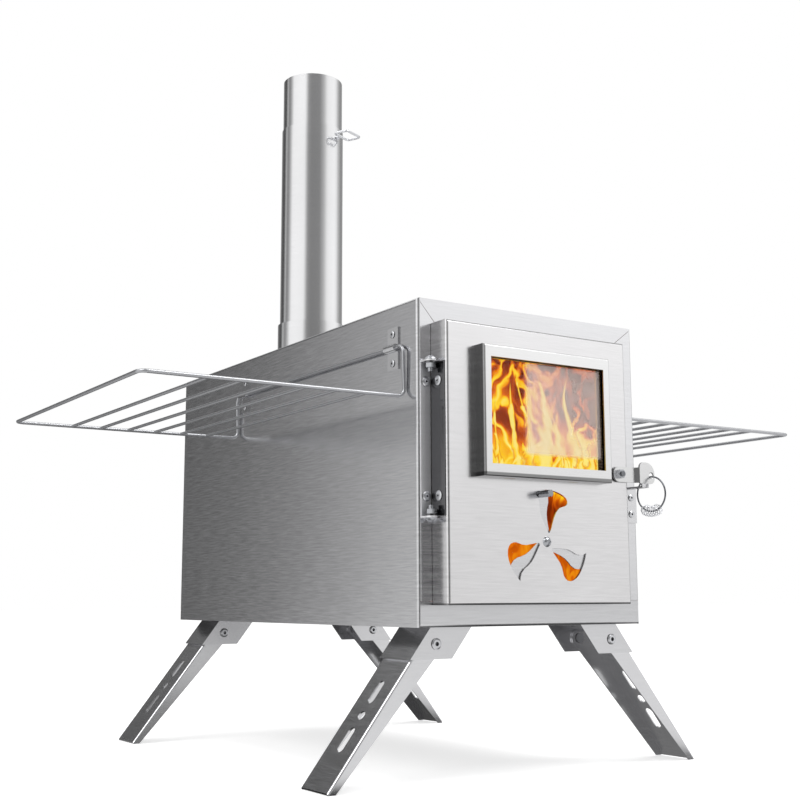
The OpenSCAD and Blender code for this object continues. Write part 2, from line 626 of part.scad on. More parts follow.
module hinge_nuts() {
    color([0.72, 0.72, 0.72]) for (s = [-1, 1]) hinge_end(s) translate([0, 0, -0.1 - ear_in - sheet]) rotate([180, 0, 0]) nut();
}

// ---- latch ----
module latch_lever() {
    color([0.88, 0.88, 0.88]) difference() {
        union() {
            translate([latch_x, 0, latch_z]) cyl_y(lever_hw, arm_yf, arm_yb);
            translate([0, 0, latch_z - lever_hw]) linear_extrude(2 * lever_hw) polygon([[latch_x, arm_yb], [flag_x0 - 1, arm_yb],
                [flag_x0 + lever_t, flag_yb], [flag_x0 + lever_t, flag_yf], [flag_x0, flag_yf], [flag_x0 - 3, arm_yf], [latch_x, arm_yf]]);
            along_y(flag_yf, flag_yb) rsq(flag_x0, flag_x1, flag_z0, flag_z0 + flag_h, [1, 5, 11, 5]);
        }
        translate([latch_x, 0, latch_z]) cyl_y(m5 + pin_play, arm_yf - lap, arm_yb + lap);
        translate([ring_x, ring_y, hole_z]) rotate([-90, 0, 0]) {
            translate([0, 0, -lever_t]) cylinder(r = ring_hole, h = 2 * lever_t);
            for (s = [0, 1]) mirror([0, 0, s]) translate([0, 0, 0.1]) cylinder(r1 = ring_hole, r2 = ring_hole + lever_t, h = lever_t);
        }
    }
}
module latch_bolt() {
    color([0.6, 0.6, 0.6]) translate([latch_x, 0, latch_z]) {
        translate([0, dyi, 0]) rotate([-90, 0, 0]) cylinder(r = nut_r, h = 3.5, $fn = 6);
        cyl_y(m5, arm_yf - 0.1 - nut_h - 1.5, dyi + eps);
    }
}
module latch_spacer() {
    color([0.7, 0.7, 0.7]) translate([latch_x, 0, latch_z]) difference() {
        cyl_y(5, dyf - spacer_t, dyf);
        cyl_y(m5 + pin_play, dyf - spacer_t - lap, dyf + lap);
    }
}
module latch_nut() { color([0.7, 0.7, 0.7]) translate([latch_x, arm_yf - 0.1, latch_z]) rotate([90, 0, 0]) nut(); }
// the ring's plane: u is its level direction, nrm the axis it swings about
ring_u = [cos(ring_yaw), -sin(ring_yaw), 0];
ring_n = [sin(ring_yaw), cos(ring_yaw), 0];
ring_c = [ring_x, ring_y, ring_top - ring_r];
module latch_ring() {
    color([0.75, 0.75, 0.77]) translate(ring_c) rotate([0, 0, 90 - ring_yaw]) rotate([0, 90, 0])
        rotate_extrude() translate([ring_r, 0]) circle(ring_wire / 2, $fn = 32);
}
coil_steps = coil_turns * 8;
coil_grip_r = ring_wire / 2 + coil_wire / 2 + 0.08;
function coil_rho(i) = coil_grip_r + (coil_r - coil_grip_r) * min(1, min(i, coil_steps - i) / 12);
function coil_p(i) = let (b = coil_span * (2 * i / coil_steps - 1), g = 45 * i, w = ring_u * sin(b) + [0, 0, -1] * cos(b), q = coil_rho(i))
    ring_c + (ring_r + q * cos(g)) * w + q * sin(g) * ring_n;
function coil_o(i) = let (b = coil_span * (2 * i / coil_steps - 1), g = 45 * i, w = ring_u * sin(b) + [0, 0, -1] * cos(b)) cos(g) * w + sin(g) * ring_n;
coil_mid = [for (i = [0:coil_steps]) coil_p(i)];
coil_tan = [for (i = [0:coil_steps]) unit(coil_mid[min(i + 1, coil_steps)] - coil_mid[max(i - 1, 0)])];
coil_line = concat([coil_mid[0] - coil_tan[0] * coil_wire], coil_mid, [coil_mid[coil_steps] + coil_tan[coil_steps] * coil_wire]);
coil_dir = concat([coil_tan[0]], coil_tan, [coil_tan[coil_steps]]);
coil_out = concat([coil_o(0)], [for (i = [0:coil_steps]) coil_o(i)], [coil_o(coil_steps)]);
function tube_pts(line, dir, out, r, s) = [for (i = [0:len(line) - 1], k = [0:s - 1])
    let (n = unit(out[i] - (out[i] * dir[i]) * dir[i]), b = cross(dir[i], n), a = 360 * k / s) line[i] + r * (cos(a) * n + sin(a) * b)];
function tube_faces(m, s) = concat(
    [for (k = [1:s - 2]) [0, k, k + 1]], [for (k = [1:s - 2]) [(m - 1) * s, (m - 1) * s + k + 1, (m - 1) * s + k]],
    [for (i = [0:m - 2], k = [0:s - 1]) [i * s + k, (i + 1) * s + k, (i + 1) * s + (k + 1) % s]],
    [for (i = [0:m - 2], k = [0:s - 1]) [i * s + k, (i + 1) * s + (k + 1) % s, i * s + (k + 1) % s]]);
coil_gap = min([for (i = [0:coil_steps - 5], j = [i + 5:min(coil_steps, i + 12)]) norm(coil_mid[i] - coil_mid[j])]) - coil_wire;
echo("least gap between the grip's turns", coil_gap);
module coil_grip() {
    color([0.8, 0.8, 0.82]) polyhedron(tube_pts(coil_line, coil_dir, coil_out, coil_wire / 2, 6), tube_faces(len(coil_line), 6));
}
module latch_catch() {
    color([0.8, 0.8, 0.82]) difference() {
        union() {
            box(catch_x0, catch_right, -sheet, 0, ledge_top - 33, ledge_top);
            box(catch_x0, catch_x1, lip_yf, 0, ledge_top - sheet, ledge_top);
            box(catch_x0, catch_x1, lip_yf, lip_yb, ledge_top - sheet, lip_top);
        }
        for (z = catch_rivets_at) translate([catch_rivet_x, 0, z]) cyl_y(shank + pin_play, -sheet - lap, lap);
    }
}
module catch_rivets() {
    color([0.8, 0.8, 0.8]) for (z = catch_rivets_at) translate([catch_rivet_x, -sheet, z]) rotate([90, 0, 0]) rivet(2 * sheet, small_rivet, 1.3);
}

// ---- legs ----
// (x, z) of the bracket's slanted outer wall, g inside its outer face
function wall_x(z, g) = bracket_out + (z0 - z) * tan(lean) - g / cos(lean);
module leg_bracket(y) {                      // right-hand bracket, front flange at y
    difference() {
        along_y(y, y + bracket_len) polygon([[bracket_out - bracket_w, z0], [bracket_out, z0],
            [bracket_out + bracket_run, z0 - bracket_h], [bracket_out + bracket_run - bracket_w, z0 - bracket_h]]);
        along_y(y + sheet, y + bracket_len - sheet) polygon([[bracket_out - bracket_w - lap, z0 - sheet], [wall_x(z0 - sheet, sheet), z0 - sheet],
            [wall_x(z0 - bracket_h - lap, sheet), z0 - bracket_h - lap], [bracket_out - bracket_w - lap, z0 - bracket_h - lap]]);
        translate([pivot_x, 0, pivot_z]) cyl_y(leg_pin + pin_play, y - lap, y + bracket_len + lap);
        for (x = bracket_rivet_x) translate([x, y + bracket_len / 2, z0 - sheet - lap]) cylinder(r = shank + pin_play, h = sheet + 2 * lap);
    }
}
leg_t = sheet;
leg_round = leg_deep - web_off;              // radius of a leg's top end round its rivet
function floor_z(x) = -x * tan(lean) - leg_len;
slot_w = 9;
toe_in = 2.2;
module leg(y) {                              // right-hand leg in the bracket at y
    ya = y + sheet + slide_gap;
    yb = y + bracket_len - sheet - slide_gap;
    ym = (ya + yb) / 2;
    translate([pivot_x, 0, pivot_z]) rotate([0, -lean, 0]) difference() {
        intersection() {
            union() {
                cyl_y(leg_round, ya, yb);
                along_y(ya, yb) polygon([[leg_round - 1.3, 2.4], [web_off, -2], [web_off, floor_z(web_off) + 2.8], [web_off - toe_in, floor_z(web_off - toe_in)],
                    [web_off - toe_in - toe_w * cos(lean), floor_z(web_off - toe_in - toe_w * cos(lean))], [0.8 - leg_round, 1.6]]);
            }
            translate([0, 0, -leg_len - 40]) linear_extrude(leg_len + 80) rsq(-40, web_off, ya, yb, [0, 2, 2, 0]);
        }
        translate([0, 0, -leg_len - 50]) linear_extrude(leg_len + 100) square_cut(web_off - leg_t, ya + leg_t, yb - leg_t);
        cyl_y(leg_pin + pin_play, ya - lap, yb + lap);
        for (s = [[48.5, 72], [79.7, 88.7], [96.5, 121]]) translate([web_off - leg_t - lap, 0, 0]) rotate([90, 0, 90]) linear_extrude(leg_t + 2 * lap)
            rsq(ym - slot_w / 2, ym + slot_w / 2, -s[1], -s[0], [1, 1, 1, 1] * (slot_w / 2 - eps));
    }
}
module square_cut(x, ya, yb) { translate([-60, ya]) square([60 + x, yb - ya]); }
module leg_rivets() {
    color([0.8, 0.8, 0.8]) for (y = bracket_ys) both() translate([pivot_x, y, pivot_z]) {
        grip = sheet + slide_gap + leg_t + 0.1;
        rotate([90, 0, 0]) rivet(grip, big_rivet + 0.5, 1.5, leg_pin, 1);
        translate([0, bracket_len, 0]) rotate([-90, 0, 0]) rivet(grip, big_rivet + 0.5, 1.5, leg_pin, 1);
    }
}
module bracket_rivets() { color([0.8, 0.8, 0.8]) bracket_rivet_spots() translate([0, 0, sheet]) rivet(2 * sheet, small_rivet, 1.3, shank, 0.8); }
module leg_bracket_fl() { color([0.7, 0.7, 0.72]) mirror([1, 0, 0]) leg_bracket(bracket_ys[0]); }
module leg_bracket_fr() { color([0.7, 0.7, 0.72]) leg_bracket(bracket_ys[0]); }
module leg_bracket_rl() { color([0.7, 0.7, 0.72]) mirror([1, 0, 0]) leg_bracket(bracket_ys[1]); }
module leg_bracket_rr() { color([0.7, 0.7, 0.72]) leg_bracket(bracket_ys[1]); }
module leg_fl() { color([0.78, 0.78, 0.8]) mirror([1, 0, 0]) leg(bracket_ys[0]); }
module leg_fr() { color([0.78, 0.78, 0.8]) leg(bracket_ys[0]); }
module leg_rl() { color([0.78, 0.78, 0.8]) mirror([1, 0, 0]) leg(bracket_ys[1]); }
module leg_rr() { color([0.78, 0.78, 0.8]) leg(bracket_ys[1]); }

// ---- racks ----
rest_x = hw + rack_wire / 2 + slide_gap;     // the uprights lean in until their feet rest on the panel
module rack() {                              // right-hand rack
    wr = rack_wire / 2;
    wire_loop([[rack_x, rack_front, rack_z], [rest_x, rack_front, arm_z], [rack_out, rack_front, arm_z],
        [rack_out, rack_back, arm_z], [rest_x, rack_back, arm_z], [rack_x, rack_back, rack_z]], rack_bend, wr);
    for (i = [0:rack_bars - 1]) translate([hw + bar_first + i * bar_step, 0, arm_z]) cyl_y(bar_wire / 2, rack_front, rack_back);
}
module rack_left() { color([0.62, 0.62, 0.63]) mirror([1, 0, 0]) rack(); }
module rack_right() { color([0.62, 0.62, 0.63]) rack(); }
module rack_brackets() {
    color([0.66, 0.66, 0.68]) both() for (y = plate_yf) difference() {
        union() {
            box(hw, hw + sheet, y, y + plate_w, rack_z - plate_hh, rack_z + plate_hh);
            translate([rack_x, 0, rack_z]) cyl_y(knuckle_r, y, y + plate_w);
        }
        translate([rack_x, 0, rack_z]) cyl_y(rack_wire / 2 + pin_play, y - lap, y + plate_w + lap);
        for (s = [-1, 1]) translate([0, y + plate_w / 2, rack_z + s * rack_rivet_z]) cyl_x(shank + pin_play, hw - lap, hw + sheet + lap);
    }
}
module rack_rivets() {
    color([0.8, 0.8, 0.8]) both() for (p = rack_rivets_at) translate([hw + sheet, p[0], p[1]]) rotate([0, 90, 0]) rivet(2 * sheet, small_rivet, 1.3);
}

// ---- chimney ----
seat_in = 0.4;                    // the bead that carries the upper pipe stands back from its bore
sleeve_t = 0.7;                   // wall of the damper plate's sleeve round its wire
module pipe_lower() {
    color([0.78, 0.78, 0.8]) translate([0, flue_y, 0]) difference() {
        translate([0, 0, low_z]) cylinder(r = pipe_r, h = pipe_low_len);
        difference() {
            translate([0, 0, low_z - lap]) cylinder(r = pipe_r - pipe_wall, h = pipe_low_len + 2 * lap);
            translate([0, 0, up_z - sheet]) cylinder(r = pipe_r, h = sheet);
        }
        translate([0, 0, up_z - sheet - lap]) cylinder(r = up_r - pipe_wall + seat_in, h = sheet + 2 * lap);
        rotate([0, 0, damper_yaw]) translate([0, 0, damper_z]) cyl_y(damper_wire / 2 + pin_play, -pipe_r - lap, pipe_r + lap);
    }
}
module pipe_upper() {
    color([0.8, 0.8, 0.82]) translate([0, flue_y, up_z]) difference() {
        cylinder(r = up_r, h = pipe_up_len);
        translate([0, 0, -lap]) cylinder(r = up_r - pipe_wall, h = pipe_up_len + 2 * lap);
    }
}
disc_r = pipe_r - pipe_wall - 2;
module damper_plate() {
    color([0.6, 0.6, 0.6]) translate([0, flue_y, damper_z]) rotate([0, 0, damper_yaw]) difference() {
        union() {
            translate([0, 0, -sheet / 2]) cylinder(r = disc_r, h = sheet);
            cyl_y(damper_wire / 2 + sleeve_t, -disc_r + 2, disc_r - 2);
        }
        cyl_y(damper_wire / 2 + 0.02, -disc_r - lap, disc_r + lap);
        for (s = [-1, 1]) translate([s * disc_r / 2, 0, -sheet]) cylinder(r = 8, h = 2 * sheet);
    }
}
loop_in = 7;
loop_deep = 19;
loop_w = 28;
module damper_rod() {
    r = damper_wire / 2;
    ya = -pipe_r - loop_in;
    color([0.5, 0.5, 0.5]) translate([0, flue_y, damper_z]) rotate([0, 0, damper_yaw]) {
        cyl_y(r, ya, pipe_r + 3.5);
        cyl_y(r + 1.1, pipe_r + 0.6, pipe_r + 1.8);
        cyl_y(r + 1.1, -pipe_r - 1.8, -pipe_r - 0.6);
        wire_loop([[loop_w / 2, ya, 0], [loop_w / 2, ya - loop_deep, 0], [-loop_w / 2, ya - loop_deep, 0], [-loop_w / 2, ya, 0]], 4, r + 0.15);
    }
}

translate([0, -mid_y, 0]) {
body_shell();
bottom_pan();
rear_panel();
flue_collar();
collar_rivets();
fire_grate();
door_pan();
window_frame();
window_glass();
gasket_front();
gasket_rear();
vent_rotor();
vent_peg();
vent_screw();
vent_washer();
vent_nut();
hinge_body_leaf();
hinge_door_leaf();
hinge_body_rivets();
hinge_door_rivets();
hinge_screws();
hinge_nuts();
latch_lever();
latch_bolt();
latch_spacer();
latch_nut();
latch_ring();
coil_grip();
latch_catch();
catch_rivets();
leg_bracket_fl();
leg_bracket_fr();
leg_bracket_rl();
leg_bracket_rr();
leg_fl();
leg_fr();
leg_rl();
leg_rr();
leg_rivets();
bracket_rivets();
rack_left();
rack_right();
rack_brackets();
rack_rivets();
pipe_lower();
pipe_upper();
damper_plate();
damper_rod();
}
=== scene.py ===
import math
import random

import bpy
from mathutils import Matrix, Vector, noise


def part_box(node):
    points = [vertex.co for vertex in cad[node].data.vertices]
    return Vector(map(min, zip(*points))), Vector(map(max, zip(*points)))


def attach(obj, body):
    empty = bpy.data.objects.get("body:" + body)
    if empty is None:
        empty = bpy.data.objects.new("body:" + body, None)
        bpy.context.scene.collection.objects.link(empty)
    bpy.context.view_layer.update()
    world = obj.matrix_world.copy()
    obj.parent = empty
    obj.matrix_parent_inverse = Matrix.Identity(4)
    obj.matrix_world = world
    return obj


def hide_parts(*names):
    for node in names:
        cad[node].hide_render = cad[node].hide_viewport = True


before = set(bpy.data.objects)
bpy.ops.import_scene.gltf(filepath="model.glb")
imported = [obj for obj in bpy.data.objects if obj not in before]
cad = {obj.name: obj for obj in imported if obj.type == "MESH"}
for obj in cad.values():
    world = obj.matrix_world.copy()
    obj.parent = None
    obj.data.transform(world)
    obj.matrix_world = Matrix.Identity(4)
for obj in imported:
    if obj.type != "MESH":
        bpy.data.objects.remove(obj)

scene = bpy.context.scene
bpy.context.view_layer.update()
MM = 0.001

# ---------------------------------------------------------------------------
# Camera: it stands in front and to the left of the stove, 160 mm above the
# ground, and looks slightly up at it.
# ---------------------------------------------------------------------------
CAMERA_AT = Vector((-720.9, -1129.48, 160.08)) * MM
CAMERA_YAW, CAMERA_PITCH, CAMERA_ROLL = 0.571, 0.158, -0.003
FOCAL_PIXELS, PICTURE_PIXELS, SENSOR_WIDTH = 1236.5, 800, 36

look = Vector((math.sin(CAMERA_YAW) * math.cos(CAMERA_PITCH),
               math.cos(CAMERA_YAW) * math.cos(CAMERA_PITCH), math.sin(CAMERA_PITCH)))
level_right = Vector((math.cos(CAMERA_YAW), -math.sin(CAMERA_YAW), 0))
level_up = level_right.cross(look)
camera_right = level_right * math.cos(CAMERA_ROLL) + level_up * math.sin(CAMERA_ROLL)
camera_up = level_up * math.cos(CAMERA_ROLL) - level_right * math.sin(CAMERA_ROLL)
camera_turn = Matrix((camera_right, camera_up, -look)).transposed().to_4x4()

camera = bpy.data.objects.new("camera", bpy.data.cameras.new("camera"))
camera.data.lens = FOCAL_PIXELS / PICTURE_PIXELS * SENSOR_WIDTH
camera.data.sensor_width = SENSOR_WIDTH
camera.data.clip_start = 10 * MM
camera.matrix_world = Matrix.Translation(CAMERA_AT) @ camera_turn
scene.collection.objects.link(camera)
scene.camera = camera
scene.view_settings.view_transform = "Standard"


# ---------------------------------------------------------------------------
# Studio: a plain pale floor, a white surround, and a ring of soft screens far
# round the stove that only metal and glass see, as brushed steel is lit.
# ---------------------------------------------------------------------------
def linear(hex_colour):
    """An sRGB hex colour as linear RGBA."""
    parts = [int(hex_colour[i:i + 2], 16) / 255 for i in (1, 3, 5)]
    return (*[p / 12.92 if p <= 0.04045 else ((p + 0.055) / 1.055) ** 2.4 for p in parts], 1)


def add(tree, kind, inputs=None, stops=None, **settings):
    """Adds a node with its settings. inputs maps a socket to a value, to another node's output, or to a node,
    which stands for its first output; stops are the places and colours of a colour ramp."""
    made = tree.nodes.new(kind)
    for name, value in settings.items():
        setattr(made, name, value)
    for socket, value in (inputs or {}).items():
        if isinstance(value, bpy.types.Node):
            value = value.outputs[0]
        if isinstance(value, bpy.types.NodeSocket):
            tree.links.new(value, made.inputs[socket])
        else:
            made.inputs[socket].default_value = value
    if stops:
        ramp = made.color_ramp.elements
        for stop, (position, colour) in zip(ramp, (stops[0], stops[-1])):
            stop.position, stop.color = position, colour
        for position, colour in stops[1:-1]:
            ramp.new(position).color = colour
    return made


def new_material(name):
    """A material and its empty node tree."""
    material = bpy.data.materials.new(name)
    material.use_nodes = True
    material.node_tree.nodes.clear()
    return material, material.node_tree


def new_mesh(name, points, faces):
    """A smooth-shaded mesh object from points in metres and faces."""
    mesh = bpy.data.meshes.new(name)
    mesh.from_pydata([tuple(p) for p in points], [], faces)
    mesh.update()
    mesh.polygons.foreach_set("use_smooth", [True] * len(faces))
    made = bpy.data.objects.new(name, mesh)
    scene.collection.objects.link(made)
    return made


def quads(rings, across, closed=False, first=0):
    """Faces between rings of points; closed joins the last point of a ring to its first."""
    rows = [range(first + i * across, first + (i + 1) * across) for i in range(rings)]
    return [(low[k], low[(k + 1) % across], high[(k + 1) % across], high[k])
            for low, high in zip(rows, rows[1:]) for k in range(across if closed else across - 1)]


def seen_by_eye_or_gloss(tree):
    """1 for rays from the camera and for reflected or refracted ones, 0 for the rest."""
    rays = add(tree, "ShaderNodeLightPath").outputs
    straight = add(tree, "ShaderNodeMath", {0: rays["Is Camera Ray"], 1: rays["Is Glossy Ray"]},
                   operation="MAXIMUM")
    return add(tree, "ShaderNodeMath", {0: straight, 1: rays["Is Transmission Ray"]}, operation="MAXIMUM")


FLOOR_HALF, FLOOR_COLOUR, FLOOR_GLOW = 15, "#e8e8e8", 0.62
SURROUND_LIGHT = 0.55
WHITE = (1, 1, 1, 1)

floor_corners = [(x * FLOOR_HALF, y * FLOOR_HALF, 0) for x, y in ((-1, -1), (1, -1), (1, 1), (-1, 1))]
floor = new_mesh("studio_floor", floor_corners, [(0, 1, 2, 3)])
paper, tree = new_material("white_backdrop_paper")
seen = add(tree, "ShaderNodeMath", {0: seen_by_eye_or_gloss(tree), 1: FLOOR_GLOW}, operation="MULTIPLY")
glow = add(tree, "ShaderNodeEmission", {"Color": WHITE, "Strength": seen})
matt = add(tree, "ShaderNodeBsdfDiffuse", {"Color": linear(FLOOR_COLOUR)})
both = add(tree, "ShaderNodeAddShader", {0: matt, 1: glow})
add(tree, "ShaderNodeOutputMaterial", {"Surface": both})
floor.data.materials.append(paper)

world = bpy.data.worlds.new("white_surround")
world.use_nodes = True
tree = world.node_tree
tree.nodes.clear()
light = add(tree, "ShaderNodeBackground", {"Color": WHITE, "Strength": SURROUND_LIGHT})
white = add(tree, "ShaderNodeBackground", {"Color": WHITE, "Strength": 1})
mixed = add(tree, "ShaderNodeMixShader", {0: seen_by_eye_or_gloss(tree), 1: light, 2: white})
add(tree, "ShaderNodeOutputWorld", {"Surface": mixed})
scene.world = world

# The screens stand in a ring, with pale and dark cloth by turns, and go on over the floor as cards. A place
# round the ring runs from 0 at the left (-X) through 0.25 in front to 0.75 behind. SCREEN_LIGHT is the
# strength that all its tones are multiplied by.
SCREEN_RADIUS, SCREEN_HEIGHT, SCREEN_SIDES, CARD_INSIDE = 8, 6, 96, 0.01
SCREEN_LIGHT = 1.25
HIGH_TONES = [
    (0.0, 0.9), (0.045, 0.88), (0.088, 0.86), (0.106, 0.52), (0.124, 0.26), (0.16, 0.21), (0.25, 0.22),
    (0.30, 0.45), (0.335, 0.8), (0.36, 0.86), (0.43, 0.92), (0.465, 0.8), (0.50, 0.46), (0.55, 0.24),
    (0.62, 0.3), (0.70, 0.36), (0.755, 0.16), (0.785, 0.07), (0.816, 0.07), (0.8225, 0.1), (0.83, 0.16),
    (0.838, 0.28), (0.8455, 0.46), (0.852, 0.48), (0.862, 0.28), (0.885, 0.2), (0.915, 0.42), (0.945, 0.88),
    (1.0, 0.9)]
LOW_TONES = [
    (0.0, 0.7), (0.06, 0.7), (0.088, 0.4), (0.11, 0.08), (0.16, 0.04), (0.22, 0.06), (0.29, 0.35),
    (0.335, 0.58), (0.36, 0.6), (0.43, 0.64), (0.465, 0.5), (0.50, 0.3), (0.55, 0.2), (0.70, 0.25),
    (0.755, 0.15), (0.785, 0.08), (0.816, 0.09), (0.8225, 0.12), (0.83, 0.18), (0.838, 0.31), (0.8455, 0.5),
    (0.86, 0.6), (0.885, 0.54), (0.915, 0.62), (0.945, 0.7), (1.0, 0.7)]
RISE_FROM, RISE_TO = 0.4, 2.2               # heights between which the low tones turn into the high ones
circle = [(math.cos(2 * math.pi * i / SCREEN_SIDES), math.sin(2 * math.pi * i / SCREEN_SIDES))
          for i in range(SCREEN_SIDES)]
levels = [(CARD_INSIDE, 0.5 * MM), (SCREEN_RADIUS, 0.5 * MM), (SCREEN_RADIUS, SCREEN_HEIGHT)]
screen = new_mesh("studio_screens", [(x * reach, y * reach, z) for reach, z in levels for x, y in circle],
                  quads(len(levels), SCREEN_SIDES, closed=True))
silk, tree = new_material("soft_screen_cloth")
where = add(tree, "ShaderNodeTexCoord").outputs["Object"]
turn = add(tree, "ShaderNodeTexGradient", {"Vector": where}, gradient_type="RADIAL")
low_silk, high_silk = [
    add(tree, "ShaderNodeValToRGB", {"Fac": turn.outputs["Fac"]},
        stops=[(at, (tone, tone, tone, 1)) for at, tone in tones])
    for tones in (LOW_TONES, HIGH_TONES)]
spot = add(tree, "ShaderNodeSeparateXYZ", {0: where})
upper = add(tree, "ShaderNodeMapRange",
            {"Value": spot.outputs["Z"], "From Min": RISE_FROM, "From Max": RISE_TO})
shown = add(tree, "ShaderNodeMix", {0: upper, 6: low_silk, 7: high_silk}, data_type="RGBA")

# The floor cards are pale in front of the stove and at its right. The one under and behind it is dark:
# painted shade that stands for the shaded floor under the stove where metal mirrors it.
# Each pair is where a card's edge begins and ends, in metres. DARK_LEFT, DARK_RIGHT, DARK_BACK and the two
# fronts are how far the dark card reaches from the middle.
PALE_CARD, DARK_CARD = 0.66, 0.3
PALE_FADE, PALE_FRONT, PALE_RIGHT = (1.2, 3), (-0.28, -0.235), (0.29, 0.33)
DARK_LEFT, DARK_RIGHT, DARK_BACK, DARK_EDGE = 0.30, 0.26, 0.35, (-0.03, 0.02)
DARK_FRONT_LEFT, DARK_FRONT_RIGHT, DARK_STEP = 0.25, 0.42, (0, 0.04)
away = add(tree, "ShaderNodeVectorMath", {0: where}, operation="LENGTH")
near = add(tree, "ShaderNodeMapRange", {
    "Value": away.outputs["Value"], "From Min": PALE_FADE[0], "From Max": PALE_FADE[1],
    "To Min": 1, "To Max": 0})
in_front = add(tree, "ShaderNodeMapRange", {
    "Value": spot.outputs["Y"], "From Min": PALE_FRONT[0], "From Max": PALE_FRONT[1],
    "To Min": 1, "To Max": 0})
at_right = add(tree, "ShaderNodeMapRange", {
    "Value": spot.outputs["X"], "From Min": PALE_RIGHT[0], "From Max": PALE_RIGHT[1]})
pale_side = add(tree, "ShaderNodeMath", {0: in_front, 1: at_right}, operation="MAXIMUM")
pale_card = add(tree, "ShaderNodeMath", {0: pale_side, 1: near}, operation="MULTIPLY")
carded = add(tree, "ShaderNodeMix", {0: pale_card, 6: shown.outputs[2], 7: (PALE_CARD,) * 3 + (1,)},
             data_type="RGBA")
past_left = add(tree, "ShaderNodeMath", {0: spot.outputs["X"], 1: DARK_LEFT}, operation="ADD")
to_right = add(tree, "ShaderNodeMath", {0: DARK_RIGHT, 1: spot.outputs["X"]}, operation="SUBTRACT")
to_back = add(tree, "ShaderNodeMath", {0: DARK_BACK, 1: spot.outputs["Y"]}, operation="SUBTRACT")
front_edge = add(tree, "ShaderNodeMapRange", {
    "Value": spot.outputs["X"], "From Min": DARK_STEP[0], "From Max": DARK_STEP[1],
    "To Min": DARK_FRONT_LEFT, "To Max": DARK_FRONT_RIGHT})
past_front = add(tree, "ShaderNodeMath", {0: spot.outputs["Y"], 1: front_edge}, operation="ADD")
side_depth = add(tree, "ShaderNodeMath", {0: past_left, 1: to_right}, operation="MINIMUM")
end_depth = add(tree, "ShaderNodeMath", {0: to_back, 1: past_front}, operation="MINIMUM")
depth_in = add(tree, "ShaderNodeMath", {0: side_depth, 1: end_depth}, operation="MINIMUM")
beneath = add(tree, "ShaderNodeMapRange", {
    "Value": depth_in, "From Min": DARK_EDGE[0], "From Max": DARK_EDGE[1],
    "To Min": SCREEN_LIGHT, "To Max": DARK_CARD})
cloth = add(tree, "ShaderNodeEmission", {"Color": carded.outputs[2], "Strength": beneath})
add(tree, "ShaderNodeOutputMaterial", {"Surface": cloth})
screen.data.materials.append(silk)

# overhead hangs a grey cloth, paler towards the back, so that the top sheet and the wires show from above
OVERHEAD_RADIUS, OVERHEAD_FRONT, OVERHEAD_BACK = 3.6, -1.5, 2.5
OVERHEAD_DARK, OVERHEAD_PALE = 0.45, 0.8
overhead = new_mesh("overhead_cloth",
                    [(x * OVERHEAD_RADIUS, y * OVERHEAD_RADIUS, SCREEN_HEIGHT) for x, y in circle],
                    [tuple(range(SCREEN_SIDES))])
felt, tree = new_material("grey_overhead_felt")
spot = add(tree, "ShaderNodeSeparateXYZ", {0: add(tree, "ShaderNodeTexCoord").outputs["Object"]})
overhead_tone = add(tree, "ShaderNodeMapRange", {
    "Value": spot.outputs["Y"], "From Min": OVERHEAD_FRONT, "From Max": OVERHEAD_BACK,
    "To Min": OVERHEAD_DARK, "To Max": OVERHEAD_PALE})
veil = add(tree, "ShaderNodeEmission", {"Color": WHITE, "Strength": overhead_tone})
add(tree, "ShaderNodeOutputMaterial", {"Surface": veil})
overhead.data.materials.append(felt)
for hung in (screen, overhead):
    hung.visible_camera = hung.visible_diffuse = hung.visible_shadow = hung.visible_transmission = False

LAMPS = [("lamp_front", (1.7, -2.6, 4.6), 85), ("lamp_left", (-3.2, -1.1, 4.2), 60),
         ("lamp_top", (0.1, 0.6, 4.5), 50)]
LAMP_SIZE = 2.4
LAMPS_AIM_AT = Vector((0, 0, 0.3))
for name, at, watts in LAMPS:
    lamp = bpy.data.objects.new(name, bpy.data.lights.new(name, "AREA"))
    lamp.data.size, lamp.data.energy = LAMP_SIZE, watts
    lamp.location = at
    lamp.rotation_euler = (LAMPS_AIM_AT - Vector(at)).to_track_quat("-Z", "Y").to_euler()
    # mirrored in the top sheet, the top lamp would burn it white
    lamp.visible_glossy = name != "lamp_top"
    scene.collection.objects.link(lamp)

# ---------------------------------------------------------------------------
# Firebox: shell, bottom pan and back panel of 1.5 mm stainless sheet, cut and
# folded, with the mill's horizontal brushing outside and soot inside.
# ---------------------------------------------------------------------------
# the scratches are 25 mm long and 1.3 mm apart, coarser than the real 0.1 mm, so that they show
SCRATCHES_A_METRE_ALONG, SCRATCHES_A_METRE_ACROSS = 40, 760
# the broad sides are scratched about three times as deep as the faces that look forward
FRONT_SCRATCH, SIDE_SCRATCH = 0.035, 0.1
SOOT_DARK, SOOT_PALE, FIRELIGHT_COLOUR = "#15110e", "#4a4038", "#c8400a"
FIRELIGHT_FROM, FIRELIGHT_FULL = 160 * MM, 200 * MM


